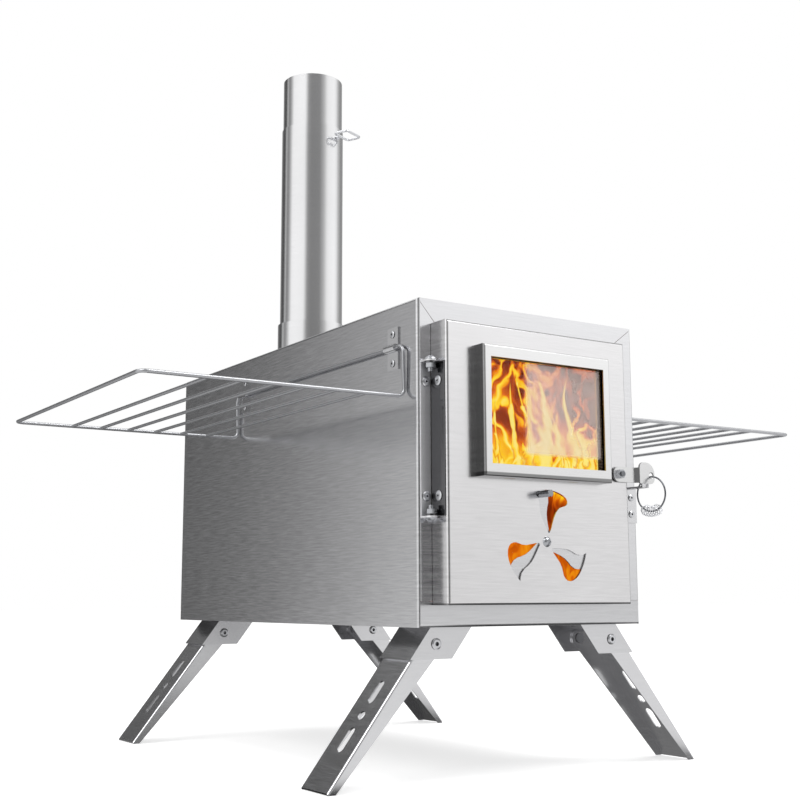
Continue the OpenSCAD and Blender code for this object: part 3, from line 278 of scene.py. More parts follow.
def brushed_steel(name, colour, roughness, soot_box=None, firelight=0.0, grain=1.0, fineness=1.0,
                  rim=1.0, upward_fold_painted_shade=1.0, lowest_fold_painted_shade=None):
    """Brushed stainless sheet: a satin grey whose short level scratches change its colour, gloss and relief
    a little. Its colour also holds painted shade: rim is how pale painted shade leaves the faces that look
    neither forward nor back, such as folded and cut rims, the next share how pale it leaves faces tilted up,
    such as an upward fold, and the last is the top of its lowest fold and how pale painted shade leaves that.
    Inside soot_box it is covered in soot, which the fire lights."""
    material, tree = new_material(name)
    place = add(tree, "ShaderNodeTexCoord")
    where = place.outputs["Object"]
    spot = add(tree, "ShaderNodeSeparateXYZ", {0: where})
    facing = add(tree, "ShaderNodeSeparateXYZ", {0: place.outputs["Normal"]})
    sideways, level = [add(tree, "ShaderNodeMath", {0: facing.outputs[axis]}, operation="ABSOLUTE")
                       for axis in "XZ"]
    long, fine = SCRATCHES_A_METRE_ALONG, SCRATCHES_A_METRE_ACROSS * fineness
    on_wall = add(tree, "ShaderNodeMapping", {"Vector": where, "Scale": (long, long, fine)})
    on_top = add(tree, "ShaderNodeMapping", {"Vector": where, "Scale": (fine, long, long)})
    flat_top = add(tree, "ShaderNodeMath", {0: level, 1: 0.8}, operation="GREATER_THAN")
    grain_way = add(tree, "ShaderNodeMix", {0: flat_top, 4: on_wall, 5: on_top}, data_type="VECTOR")
    scratches = add(tree, "ShaderNodeTexNoise", {
        "Vector": grain_way.outputs[1], "Scale": 1, "Detail": 3, "Roughness": 0.6})
    clouds = add(tree, "ShaderNodeTexNoise", {"Vector": where, "Scale": 9, "Detail": 3, "Roughness": 0.55})
    depth = add(tree, "ShaderNodeMapRange", {
        "Value": sideways, "From Min": 0.3, "From Max": 0.9,
        "To Min": FRONT_SCRATCH * grain, "To Max": SIDE_SCRATCH * grain})
    swing = add(tree, "ShaderNodeMapRange", {
        "Value": scratches, "From Min": 0.3, "From Max": 0.7, "To Min": -1, "To Max": 1})
    shade = add(tree, "ShaderNodeMath", {0: swing, 1: depth, 2: 1}, operation="MULTIPLY_ADD")
    patch = add(tree, "ShaderNodeMapRange", {
        "Value": clouds, "From Min": 0.3, "From Max": 0.7, "To Min": 0.98, "To Max": 1.02})
    shares = [patch]
    # painted shade: faces that look neither forward nor back, such as rims, are darkened
    if rim < 1:
        forward = add(tree, "ShaderNodeMath", {0: facing.outputs["Y"]}, operation="ABSOLUTE")
        shares.append(add(tree, "ShaderNodeMapRange", {
            "Value": forward, "From Min": 0.6, "From Max": 0.8, "To Min": rim, "To Max": 1}))
    # painted shade: faces tilted up, such as an upward fold, are darkened
    if upward_fold_painted_shade < 1:
        shares.append(add(tree, "ShaderNodeMapRange", {
            "Value": facing.outputs["Z"], "From Min": 0.15, "From Max": 0.6, "To Min": 1, "To Max": upward_fold_painted_shade}))
    # painted shade: everything below the top of the lowest fold is darkened
    if lowest_fold_painted_shade:
        shares.append(add(tree, "ShaderNodeMapRange", {
            "Value": spot.outputs["Z"], "From Min": lowest_fold_painted_shade[0] - 0.6 * MM, "From Max": lowest_fold_painted_shade[0] + 0.2 * MM,
            "To Min": lowest_fold_painted_shade[1], "To Max": 1}))
    tone = shade
    for share in shares:
        tone = add(tree, "ShaderNodeMath", {0: tone, 1: share}, operation="MULTIPLY")
    steel = add(tree, "ShaderNodeVectorMath", {0: linear(colour)[:3], "Scale": tone}, operation="SCALE")
    gloss = add(tree, "ShaderNodeMapRange", {
        "Value": scratches, "From Min": 0.25, "From Max": 0.75,
        "To Min": roughness - 0.03 * grain, "To Max": roughness + 0.04 * grain})
    relief = add(tree, "ShaderNodeBump", {"Height": scratches, "Strength": 0.3, "Distance": 0.03 * MM})
    surface = add(tree, "ShaderNodeBsdfPrincipled", {
        "Base Color": steel, "Metallic": 1, "Roughness": gloss, "Normal": relief})
    if soot_box:
        inside = 1
        for axis, low, high in zip("XYZ", *soot_box):
            above = add(tree, "ShaderNodeMath", {0: spot.outputs[axis], 1: low}, operation="GREATER_THAN")
            below = add(tree, "ShaderNodeMath", {0: spot.outputs[axis], 1: high}, operation="LESS_THAN")
            within = add(tree, "ShaderNodeMath", {0: above, 1: below}, operation="MULTIPLY")
            inside = add(tree, "ShaderNodeMath", {0: inside, 1: within}, operation="MULTIPLY")
        soot_grain = add(tree, "ShaderNodeTexNoise",
                         {"Vector": where, "Scale": 60, "Detail": 6, "Roughness": 0.7})
        soot_tone = add(tree, "ShaderNodeValToRGB", {"Fac": soot_grain},
                        stops=[(0, linear(SOOT_DARK)), (1, linear(SOOT_PALE))])
        # the fire lights the soot above the grate only, not the ash space
        lit = add(tree, "ShaderNodeMapRange", {
            "Value": spot.outputs["Z"], "From Min": FIRELIGHT_FROM, "From Max": FIRELIGHT_FULL,
            "To Min": 0, "To Max": firelight})
        soot = add(tree, "ShaderNodeBsdfPrincipled", {
            "Base Color": soot_tone, "Roughness": 0.85,
            "Emission Color": linear(FIRELIGHT_COLOUR), "Emission Strength": lit})
        surface = add(tree, "ShaderNodeMixShader", {0: inside, 1: surface, 2: soot})
    add(tree, "ShaderNodeOutputMaterial", {"Surface": surface})
    return material


def dress(material, *names):
    """Gives CAD nodes a material."""
    for name in names:
        cad[name].data.materials.clear()
        cad[name].data.materials.append(material)


SKIN = 1.3 * MM                             # soot begins this deep, just under the sheet's 1.5 mm
shell_low, shell_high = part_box("body_shell")
firebox_inside = ([side + SKIN for side in shell_low], [side - SKIN for side in shell_high])
# painted shade: rim darkens the shell's sides and top a little, and the pan's lowest fold is darkened
body_steel = brushed_steel("brushed_stainless_body", "#e8e8ea", 0.2, firebox_inside, firelight=0.1, rim=0.887)
pan_steel = brushed_steel("brushed_stainless_pan", "#dcdcde", 0.2, firebox_inside, firelight=0.1,
                          lowest_fold_painted_shade=(shell_low.z + 1.5 * MM, 0.4))
dress(body_steel, "body_shell", "rear_panel")
dress(pan_steel, "bottom_pan")

# ---------------------------------------------------------------------------
# Fire grate: a slotted plate standing in the pan, blackened by heat to a rough
# brown-black scale that takes nearly all its shine.
# ---------------------------------------------------------------------------
burnt_steel, tree = new_material("heat_scaled_steel")
where = add(tree, "ShaderNodeTexCoord").outputs["Object"]
scale_spots = add(tree, "ShaderNodeTexNoise", {"Vector": where, "Scale": 120, "Detail": 8, "Roughness": 0.7})
scale_tone = add(tree, "ShaderNodeValToRGB", {"Fac": scale_spots},
                 stops=[(0, linear("#17120f")), (1, linear("#5b4a3d"))])
scale_relief = add(tree, "ShaderNodeBump", {"Height": scale_spots, "Strength": 0.6, "Distance": 0.4 * MM})
burnt = add(tree, "ShaderNodeBsdfPrincipled", {
    "Base Color": scale_tone, "Metallic": 0.4, "Roughness": 0.7, "Normal": scale_relief})
add(tree, "ShaderNodeOutputMaterial", {"Surface": burnt})
dress(burnt_steel, "fire_grate")

# ---------------------------------------------------------------------------
# Firewood and embers: three split logs, charred to black scales with glowing
# cracks, on a low bed of coals on the grate.
# ---------------------------------------------------------------------------
FRONT = shell_low.y
grate_low, grate_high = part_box("fire_grate")
GRATE_TOP = grate_high.z + 0.2 * MM
# each log's ends, in mm right of the middle, behind the front and above the grate, then its radius and a seed
LOGS = [("log_left", (-50, 45, 30), (-42, 330, 31), 27, 1.3),
        ("log_right", (38, 60, 29), (46, 350, 28), 26, 3.9),
        ("log_top", (-14, 52, 75), (4, 320, 76), 24, 5.2)]
LOG_RINGS, LOG_SIDES = 30, 20
LOG_BEND, LOG_LUMPS, LOG_RIBS, LOG_SPLIT = 0.12, 0.16, 0.05, 0.62       # shares of its radius


def tube_faces(rings, sides):
    """The wall and the two ends of a closed tube."""
    ends = [tuple(range(sides))[::-1], tuple(range((rings - 1) * sides, rings * sides))]
    return quads(rings, sides, closed=True) + ends


def split_log(name, start, end, radius, seed):
    """A split log: an uneven, slightly bent round with one flat split face."""
    way = (end - start).normalized()
    side = way.cross(Vector((0, 0, 1))).normalized()
    up = side.cross(way)
    points = []
    for i in range(LOG_RINGS):
        t = i / (LOG_RINGS - 1)
        middle = start.lerp(end, t) + side * radius * LOG_BEND * math.sin(3 * t + seed)
        for k in range(LOG_SIDES):
            a = 2 * math.pi * k / LOG_SIDES
            lump = noise.noise(Vector((math.cos(a) * 1.4, math.sin(a) * 1.4, t * 6 + seed)))
            r = radius * (1 + LOG_LUMPS * lump + LOG_RIBS * math.sin(9 * a + seed))
            towards_split = math.cos(a - seed)
            if towards_split > 0.55:
                r = min(r, radius * LOG_SPLIT / towards_split)
            points.append(middle + (side * math.cos(a) + up * math.sin(a)) * r)
    return new_mesh(name, points, tube_faces(LOG_RINGS, LOG_SIDES))


charred, tree = new_material("charred_firewood")
where = add(tree, "ShaderNodeTexCoord").outputs["Object"]
# fibres 6 mm wide and 55 mm long, coarser than real ones, and char scales of 13 mm
fibre_way = add(tree, "ShaderNodeMapping", {"Vector": where, "Scale": (160, 18, 160)})
fibres = add(tree, "ShaderNodeTexNoise", {"Vector": fibre_way, "Scale": 1, "Detail": 6, "Roughness": 0.65})
char_cells = add(tree, "ShaderNodeTexVoronoi", {"Vector": where, "Scale": 75}, feature="DISTANCE_TO_EDGE")
wood_tone = add(tree, "ShaderNodeValToRGB", {"Fac": fibres},
                stops=[(0, linear("#120b07")), (1, linear("#4c3221"))])
cracks = add(tree, "ShaderNodeMapRange", {
    "Value": char_cells.outputs["Distance"], "From Min": 0.0, "From Max": 0.09, "To Min": 1, "To Max": 0})
wood_relief = add(tree, "ShaderNodeBump", {
    "Height": char_cells.outputs["Distance"], "Strength": 0.9, "Distance": 3 * MM})
wood = add(tree, "ShaderNodeBsdfPrincipled", {
    "Base Color": wood_tone, "Roughness": 0.9, "Normal": wood_relief,
    "Emission Color": linear("#ff5a10"), "Emission Strength": cracks})
add(tree, "ShaderNodeOutputMaterial", {"Surface": wood})
for name, *ends, radius, seed in LOGS:
    start, end = [Vector((x * MM, FRONT + y * MM, GRATE_TOP + z * MM)) for x, y, z in ends]
    log = split_log(name, start, end, radius * MM, seed)
    log.data.materials.append(charred)
    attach(log, "stove_body")

BED_STEPS_X, BED_STEPS_Y = 44, 66
BED_LEFT, BED_WIDTH, BED_DEPTH, BED_HEIGHT, BED_EDGE = -100 * MM, 200 * MM, 350 * MM, 14 * MM, 0.6 * MM
bed_front = grate_low.y + 2 * MM
points = []
for heap in (0, 1):
    for j in range(BED_STEPS_Y + 1):
        for i in range(BED_STEPS_X + 1):
            u, v = i / BED_STEPS_X, j / BED_STEPS_Y
            slope = min(1, 9 * min(u, 1 - u), 9 * min(v, 1 - v))
            block = noise.cell(Vector((u * 17, v * 30, 0.5)))
            lump = block * 0.4 + 0.6 * noise.noise(Vector((u * 11, v * 19, 3))) + 0.55
            z = GRATE_TOP + heap * (BED_HEIGHT * slope * max(0.1, lump) + BED_EDGE)
            points.append((BED_LEFT + u * BED_WIDTH, bed_front + v * BED_DEPTH, z))
row, column = BED_STEPS_X + 1, BED_STEPS_Y + 1
top = row * column
faces = quads(column, row, first=top) + [face[::-1] for face in quads(column, row)]
rim = [*range(row), *range(2 * row - 1, top, row), *range(top - 2, top - row - 1, -1),
       *range(top - 2 * row, 0, -row)]
faces += [(a, b, top + b, top + a) for a, b in zip(rim, rim[1:] + rim[:1])]
embers = new_mesh("ember_bed", points, faces)
glowing, tree = new_material("glowing_embers")
where = add(tree, "ShaderNodeTexCoord").outputs["Object"]
# coals of 10 mm, grey and dull on top, that glow in the gaps between them
coals = add(tree, "ShaderNodeTexVoronoi", {"Vector": where, "Scale": 95}, feature="DISTANCE_TO_EDGE")
warmth = add(tree, "ShaderNodeTexNoise", {"Vector": where, "Scale": 26, "Detail": 4, "Roughness": 0.6})
gaps = add(tree, "ShaderNodeMapRange", {
    "Value": coals.outputs["Distance"], "From Min": 0.0, "From Max": 0.22, "To Min": 1.0, "To Max": 0.05})
hot = add(tree, "ShaderNodeMath", {0: gaps, 1: warmth}, operation="MULTIPLY")
ember_tone = add(tree, "ShaderNodeValToRGB", {"Fac": hot},
                 stops=[(0, linear("#2a0800")), (0.35, linear("#f04a08")), (1, linear("#ffb030"))])
# close behind the door lies dead ash
ASH_TO, ALIVE_FROM, EMBER_GLOW = 45 * MM, 80 * MM, 2.2
deep_in = add(tree, "ShaderNodeSeparateXYZ", {0: where})
alive = add(tree, "ShaderNodeMapRange", {
    "Value": deep_in.outputs["Y"], "From Min": FRONT + ASH_TO, "From Max": FRONT + ALIVE_FROM,
    "To Min": 0, "To Max": EMBER_GLOW})
coal = add(tree, "ShaderNodeBsdfPrincipled", {
    "Base Color": linear("#3a342f"), "Roughness": 0.95, "Emission Color": ember_tone,
    "Emission Strength": alive})
add(tree, "ShaderNodeOutputMaterial", {"Surface": coal})
embers.data.materials.append(glowing)
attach(embers, "stove_body")

# ---------------------------------------------------------------------------
# Flames: a rolling curtain of burning gas close behind the door, and tongues in
# front of it that rise and twist, yellow in the middle and orange at the edges.
# ---------------------------------------------------------------------------
FIRE_FOOT, FIRE_TOP = GRATE_TOP + 6 * MM, 388 * MM
FIRE_TONES = [(0.0, "#4a1606"), (0.14, "#7a2808"), (0.27, "#b24408"), (0.4, "#de6c0c"),
              (0.5, "#f49a12"), (0.6, "#fcc61c"), (0.72, "#ffde34"), (1.0, "#fff084")]
# the fire burns hotter at the left, cooler above, and dim at the top right, where half of x plus z is large
HOT_LEFT, HOT_TO, LEFT_HEAT = -8 * MM, 16 * MM, 0.14
COOL_FROM, LOW_HEAT, HIGH_HEAT = 300 * MM, 0.08, -0.2
DIM_FROM, DIM_TO, DIM_HEAT = 345 * MM, 410 * MM, -0.4
# low down it is an even orange, with one brown hollow behind the vent's upper cut
EVEN_BELOW, EVEN_TO, EVEN_SHARE, EVEN_HEAT = 243 * MM, 278 * MM, 0.78, 0.24
CURTAIN_DEPTH = 38 * MM
HOLLOW_AT = (45 * MM, FRONT + CURTAIN_DEPTH, 236 * MM)
HOLLOW_CORE, HOLLOW_EDGE, HOLLOW_HEAT = 18 * MM, 36 * MM, 0.03
CURTAIN_SIDES, CURTAIN_RAGGED = (117 * MM, 123.5 * MM), (352 * MM, 378 * MM)


def burning_gas(name, wide, tall, by_strip):
    """Glowing gas: bright folds wide x tall mm across, redder low down and above, clear where it is cool."""
    material, tree = new_material(name)
    where = add(tree, "ShaderNodeTexCoord").outputs["Object"]
    spot = add(tree, "ShaderNodeSeparateXYZ", {0: where})
    # the gas rolls: a slow noise pushes the places at which the finer ones are read
    slow = add(tree, "ShaderNodeTexNoise", {"Vector": where, "Scale": 24, "Detail": 2, "Roughness": 0.5})
    push = add(tree, "ShaderNodeVectorMath", {0: slow.outputs["Color"], 1: (0.5, 0.5, 0.5)},
               operation="SUBTRACT")
    rolled = add(tree, "ShaderNodeVectorMath", {0: push, 1: (0.07, 0.02, 0.045), 2: where},
                 operation="MULTIPLY_ADD")
    fold_scale = (1 / (wide * MM), 25, 1 / (tall * MM))
    folded = add(tree, "ShaderNodeMapping", {"Vector": rolled, "Scale": fold_scale})
    folds = add(tree, "ShaderNodeTexNoise", {
        "Vector": folded, "Scale": 1, "Detail": 3, "Roughness": 0.5, "Distortion": 0.6})
    off_fold = add(tree, "ShaderNodeMath", {0: folds, 1: 0.5}, operation="SUBTRACT")
    away = add(tree, "ShaderNodeMath", {0: off_fold}, operation="ABSOLUTE")
    thread = add(tree, "ShaderNodeMapRange", {
        "Value": away, "From Min": 0.0, "From Max": 0.11, "To Min": 1, "To Max": 0},
        interpolation_type="SMOOTHSTEP")
    swell_scale = (0.45 / (wide * MM), 25, 0.5 / (tall * MM))
    swollen = add(tree, "ShaderNodeMapping",
                  {"Vector": rolled, "Location": (3.1, 0, 1.7), "Scale": swell_scale})
    swell = add(tree, "ShaderNodeTexNoise", {"Vector": swollen, "Scale": 1, "Detail": 4, "Roughness": 0.55})
    body = add(tree, "ShaderNodeMapRange", {
        "Value": swell, "From Min": 0.33, "From Max": 0.66, "To Min": 0.06, "To Max": 0.72})
    heat = add(tree, "ShaderNodeMath", {0: thread, 1: 0.52, 2: body}, operation="MULTIPLY_ADD")
    corner = add(tree, "ShaderNodeMath", {0: spot.outputs["X"], 1: 0.5, 2: spot.outputs["Z"]},
                 operation="MULTIPLY_ADD")
    changes = [(corner, DIM_FROM, DIM_TO, 0, DIM_HEAT),
               (spot.outputs["Z"], COOL_FROM, FIRE_TOP, LOW_HEAT, HIGH_HEAT),
               (spot.outputs["X"], HOT_LEFT, HOT_TO, LEFT_HEAT, 0)]
    for value, start, end, change_from, change_to in changes:
        change = add(tree, "ShaderNodeMapRange", {
            "Value": value, "From Min": start, "From Max": end, "To Min": change_from, "To Max": change_to})
        heat = add(tree, "ShaderNodeMath", {0: heat, 1: change}, operation="ADD")
    if by_strip:
        core = add(tree, "ShaderNodeAttribute", attribute_name="core")
        rise = add(tree, "ShaderNodeAttribute", attribute_name="rise")
        fading = add(tree, "ShaderNodeMath", {0: rise.outputs["Fac"], 1: -0.12, 2: -0.3},
                     operation="MULTIPLY_ADD")
        middle = add(tree, "ShaderNodeMath", {0: core.outputs["Fac"], 1: 0.8, 2: fading},
                     operation="MULTIPLY_ADD")
        heat = add(tree, "ShaderNodeMath", {0: heat, 1: middle}, operation="ADD")
    even = add(tree, "ShaderNodeMapRange", {
        "Value": spot.outputs["Z"], "From Min": EVEN_BELOW, "From Max": EVEN_TO,
        "To Min": EVEN_SHARE, "To Max": 0}, interpolation_type="SMOOTHSTEP")
    hollow = add(tree, "ShaderNodeVectorMath", {0: where, 1: HOLLOW_AT}, operation="DISTANCE")
    browning = add(tree, "ShaderNodeMapRange", {
        "Value": hollow.outputs["Value"], "From Min": HOLLOW_CORE, "From Max": HOLLOW_EDGE,
        "To Min": HOLLOW_HEAT, "To Max": EVEN_HEAT}, interpolation_type="SMOOTHSTEP")
    short = add(tree, "ShaderNodeMath", {0: browning, 1: heat}, operation="SUBTRACT")
    heat = add(tree, "ShaderNodeMath", {0: short, 1: even, 2: heat}, operation="MULTIPLY_ADD")
    tone = add(tree, "ShaderNodeValToRGB", {"Fac": heat},
               stops=[(at, linear(colour)) for at, colour in FIRE_TONES])
    gas = add(tree, "ShaderNodeEmission", {"Color": tone, "Strength": 1})
    if by_strip:
        solid = add(tree, "ShaderNodeMapRange", {
            "Value": heat, "From Min": 0.25, "From Max": 0.62, "To Min": 0, "To Max": 0.95},
            interpolation_type="SMOOTHSTEP")
    else:
        across = add(tree, "ShaderNodeMath", {0: spot.outputs["X"]}, operation="ABSOLUTE")
        side = add(tree, "ShaderNodeMapRange", {
            "Value": across, "From Min": CURTAIN_SIDES[0], "From Max": CURTAIN_SIDES[1],
            "To Min": 1, "To Max": 0.25}, interpolation_type="SMOOTHSTEP")
        ragged = add(tree, "ShaderNodeMath", {0: swell, 1: -0.05, 2: spot.outputs["Z"]},
                     operation="MULTIPLY_ADD")
        top = add(tree, "ShaderNodeMapRange", {
            "Value": ragged, "From Min": CURTAIN_RAGGED[0], "From Max": CURTAIN_RAGGED[1],
            "To Min": 1, "To Max": 0}, interpolation_type="SMOOTHSTEP")
        edge = add(tree, "ShaderNodeMath", {0: side, 1: top}, operation="MULTIPLY")
        thick = add(tree, "ShaderNodeMapRange", {
            "Value": heat, "From Min": 0.02, "From Max": 0.4, "To Min": 0.75, "To Max": 1})
        solid = add(tree, "ShaderNodeMath", {0: edge, 1: thick}, operation="MULTIPLY")
    clear = add(tree, "ShaderNodeBsdfTransparent")
    burning = add(tree, "ShaderNodeMixShader", {0: solid, 1: clear, 2: gas})
    add(tree, "ShaderNodeOutputMaterial", {"Surface": burning})
    return material


CURTAIN_ACROSS, CURTAIN_UP = 80, 70
CURTAIN_LEFT, CURTAIN_RIGHT, CURTAIN_OVER, CURTAIN_WAVE = -119 * MM, 124 * MM, 14 * MM, 4 * MM
points = []
for j in range(CURTAIN_UP + 1):
    for i in range(CURTAIN_ACROSS + 1):
        x = CURTAIN_LEFT + (CURTAIN_RIGHT - CURTAIN_LEFT) * i / CURTAIN_ACROSS
        z = FIRE_FOOT + (FIRE_TOP + CURTAIN_OVER - FIRE_FOOT) * j / CURTAIN_UP
        wave = CURTAIN_WAVE * noise.noise(Vector((x * 22, 5, z * 12)))
        points.append((x, FRONT + CURTAIN_DEPTH + wave, z))
curtain = new_mesh("flame_curtain", points, quads(CURTAIN_UP + 1, CURTAIN_ACROSS + 1))
curtain.data.materials.append(burning_gas("rolling_burning_gas", 28, 44, by_strip=False))
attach(curtain, "stove_body")

FLAME_RINGS, FLAME_ACROSS = 44, 10
TONGUES, TONGUE_DEPTHS = 9, (17 * MM, 27 * MM)
TONGUES_FROM, TONGUES_WIDE = -92, 196       # where the row of tongues starts and how wide it is, in mm


def flame_sheet(name, strips):
    """One mesh of several tongues; each strip is a list of (point, half width, lean) along a tongue."""
    points, faces, core, rise = [], [], [], []
    for strip in strips:
        faces += quads(len(strip), FLAME_ACROSS + 1, first=len(points))
        for i, (middle, half, slant) in enumerate(strip):
            for k in range(FLAME_ACROSS + 1):
                s = 2 * k / FLAME_ACROSS - 1
                bulge = -0.3 * half * (1 - s * s)
                points.append(middle + Vector((s * half * math.cos(slant), bulge,
                                               s * half * math.sin(slant))))
                core.append(1 - abs(s))
                rise.append(i / (len(strip) - 1))
    made = new_mesh(name, points, faces)
    for label, values in (("core", core), ("rise", rise)):
        made.data.attributes.new(label, "FLOAT", "POINT").data.foreach_set("value", values)
    return made


def tongue(x, y, z, height, width, sway, turns, phase, drift):
    """A tongue's middle line: it sways more as it rises, swells a third of the way up and ends in a point."""
    strip = []
    last = None
    for i in range(FLAME_RINGS):
        t = i / (FLAME_RINGS - 1)
        swing = sway * (0.25 + t) * math.sin(turns * 2 * math.pi * t + phase) * 0.6
        middle = Vector((x + drift * t * t + swing, y + 2.5 * MM * math.cos(5 * t + phase), z + height * t))
        slant = 0 if last is None else math.atan2(-(middle.x - last.x), max(1e-6, middle.z - last.z)) * 0.9
        pinch = 1 + 0.35 * math.sin(13 * t + phase * 3)
        half = width * (0.35 + 1.9 * t) * (1 - t) ** 1.1 * pinch + 0.15 * MM
        strip.append((middle, half, slant))
        last = middle
    return strip


random.seed(11)
licking = burning_gas("licking_burning_gas", 18, 40, by_strip=True)
for layer, depth in enumerate(TONGUE_DEPTHS):
    strips = []
    for i in range(TONGUES):
        x = (TONGUES_FROM + TONGUES_WIDE * (i + 0.5) / TONGUES + random.uniform(-8, 8)) * MM
        height = (FIRE_TOP - FIRE_FOOT) * random.uniform(0.6, 0.97)
        strips.append(tongue(x, FRONT + depth, FIRE_FOOT, height, width=random.uniform(12, 22) * MM,
                             sway=random.uniform(9, 20) * MM, turns=random.uniform(0.7, 1.4),
                             phase=random.uniform(0, 6.28), drift=random.uniform(-14, 14) * MM))
    flames = flame_sheet(f"flames_{layer + 1}", strips)
    flames.data.materials.append(licking)
    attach(flames, "stove_body")

# ---------------------------------------------------------------------------
# Door: a folded pan and a raised window frame in the same sheet, brushed level
#  and paler than the body, with painted shade on the window frame's rims, the pan's
#  upward fold and the lowest folds of both; the window frame is glossier and its brushing fainter.
# ---------------------------------------------------------------------------
door_low, door_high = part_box("door_pan")
window_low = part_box("window_frame")[0]
OPEN_BACK = 1                               # the pan is open behind: the soot's box ends far past it, at 1 m
door_inside = ([side + SKIN for side in door_low], (door_high.x - SKIN, OPEN_BACK, door_high.z - SKIN))
# painted shade: the pan's upward fold and lowest fold, and the window frame's rims and lowest fold, are
# darkened
door_steel = brushed_steel("brushed_stainless_door", "#eeedee", 0.21, door_inside,
                           upward_fold_painted_shade=0.35, lowest_fold_painted_shade=(door_low.z + 1.9 * MM, 0.35))
window_steel = brushed_steel("brushed_stainless_window_frame", "#f0f0f0", 0.18, grain=0.6,
                             rim=0.35, lowest_fold_painted_shade=(window_low.z + 3.8 * MM, 0.35))
dress(door_steel, "door_pan")
dress(window_steel, "window_frame")

# ---------------------------------------------------------------------------
# Window: clear heat-proof glass, held between two rings of woven glass-fibre
# tape that has charred to dark grey.
# ---------------------------------------------------------------------------
# the IOR is below the usual 1.5, so that the pale room's reflection stays as faint as in a dark room
GLASS_TINT, GLASS_IOR = "#fdf6ee", 1.2
# a painted reflection: a pale matt veil on the outer face's right two thirds, clear along the foot: where
# each edge
#  of it runs, in mm, and whether that edge is soft
PAINTED_REFLECTION_COLOUR, PAINTED_REFLECTION_LEAST, PAINTED_REFLECTION_MOST = "#efe2de", 0.26, 0.36
PAINTED_REFLECTION_EDGES = [("X", -36, -29, 0, 1, "SMOOTHSTEP"), ("Z", 284, 288, 0, 1, "SMOOTHSTEP"),
               ("X", 52.3, 53.6, 1, 0, "LINEAR"), ("Z", 367.2, 368.6, 1, 0, "LINEAR")]
glass, tree = new_material("heat_proof_glass")
place = add(tree, "ShaderNodeTexCoord")
where = place.outputs["Object"]
film = add(tree, "ShaderNodeTexNoise", {"Vector": where, "Scale": 24, "Detail": 4, "Roughness": 0.6})
film_gloss = add(tree, "ShaderNodeMapRange", {
    "Value": film, "From Min": 0.3, "From Max": 0.7, "To Min": 0.0, "To Max": 0.03})
pane = add(tree, "ShaderNodeBsdfPrincipled", {
    "Base Color": linear(GLASS_TINT), "Roughness": film_gloss, "IOR": GLASS_IOR, "Transmission Weight": 1})
spot = add(tree, "ShaderNodeSeparateXYZ", {0: where})
facing = add(tree, "ShaderNodeSeparateXYZ", {0: place.outputs["Normal"]})
outer = add(tree, "ShaderNodeMath", {0: facing.outputs["Y"], 1: -0.5}, operation="LESS_THAN")
painted_reflection_share = add(tree, "ShaderNodeMapRange", {
    "Value": film, "From Min": 0.3, "From Max": 0.7, "To Min": PAINTED_REFLECTION_LEAST, "To Max": PAINTED_REFLECTION_MOST})
painted_reflection_amount = add(tree, "ShaderNodeMath", {0: painted_reflection_share, 1: outer}, operation="MULTIPLY")
for axis, start, end, before, after, softness in PAINTED_REFLECTION_EDGES:
    edge = add(tree, "ShaderNodeMapRange", {
        "Value": spot.outputs[axis], "From Min": start * MM, "From Max": end * MM,
        "To Min": before, "To Max": after}, interpolation_type=softness)
    painted_reflection_amount = add(tree, "ShaderNodeMath", {0: painted_reflection_amount, 1: edge}, operation="MULTIPLY")
# the painted reflection is a pale matt veil mixed over the pane
painted_reflection_veil = add(tree, "ShaderNodeBsdfDiffuse", {"Color": linear(PAINTED_REFLECTION_COLOUR)})
pane_and_painted_reflection = add(tree, "ShaderNodeMixShader", {0: painted_reflection_amount, 1: pane, 2: painted_reflection_veil})
add(tree, "ShaderNodeOutputMaterial", {"Surface": pane_and_painted_reflection})
dress(glass, "window_glass")

tape, tree = new_material("woven_glass_fibre_tape")
where = add(tree, "ShaderNodeTexCoord").outputs["Object"]
# dull threads 1.4 mm wide, both ways: a wave of scale 112 repeats every 2.8 mm, a thread and a dip
weave_x, weave_z = [add(tree, "ShaderNodeTexWave", {"Vector": where, "Scale": 112, "Distortion": 0.6},
                        bands_direction=way) for way in "XZ"]
weave = add(tree, "ShaderNodeMath", {0: weave_x.outputs["Fac"], 1: weave_z.outputs["Fac"]},
            operation="MULTIPLY")
thread_tone = add(tree, "ShaderNodeValToRGB", {"Fac": weave},
                  stops=[(0, linear("#191715")), (1, linear("#4b4642"))])
thread_relief = add(tree, "ShaderNodeBump", {"Height": weave, "Strength": 0.7, "Distance": 0.4 * MM})
threads = add(tree, "ShaderNodeBsdfPrincipled", {
    "Base Color": thread_tone, "Roughness": 0.9, "Normal": thread_relief})
add(tree, "ShaderNodeOutputMaterial", {"Surface": threads})
dress(tape, "gasket_front", "gasket_rear")

# ---------------------------------------------------------------------------
# Air vent: a thin turning disc behind the door's three cuts, a turned peg to
# push it by, and a zinc-plated cross-head screw with washer and nut.
# ---------------------------------------------------------------------------
disc_steel = brushed_steel("brushed_stainless_disc", "#e2e2e4", 0.25)
dress(disc_steel, "vent_rotor")


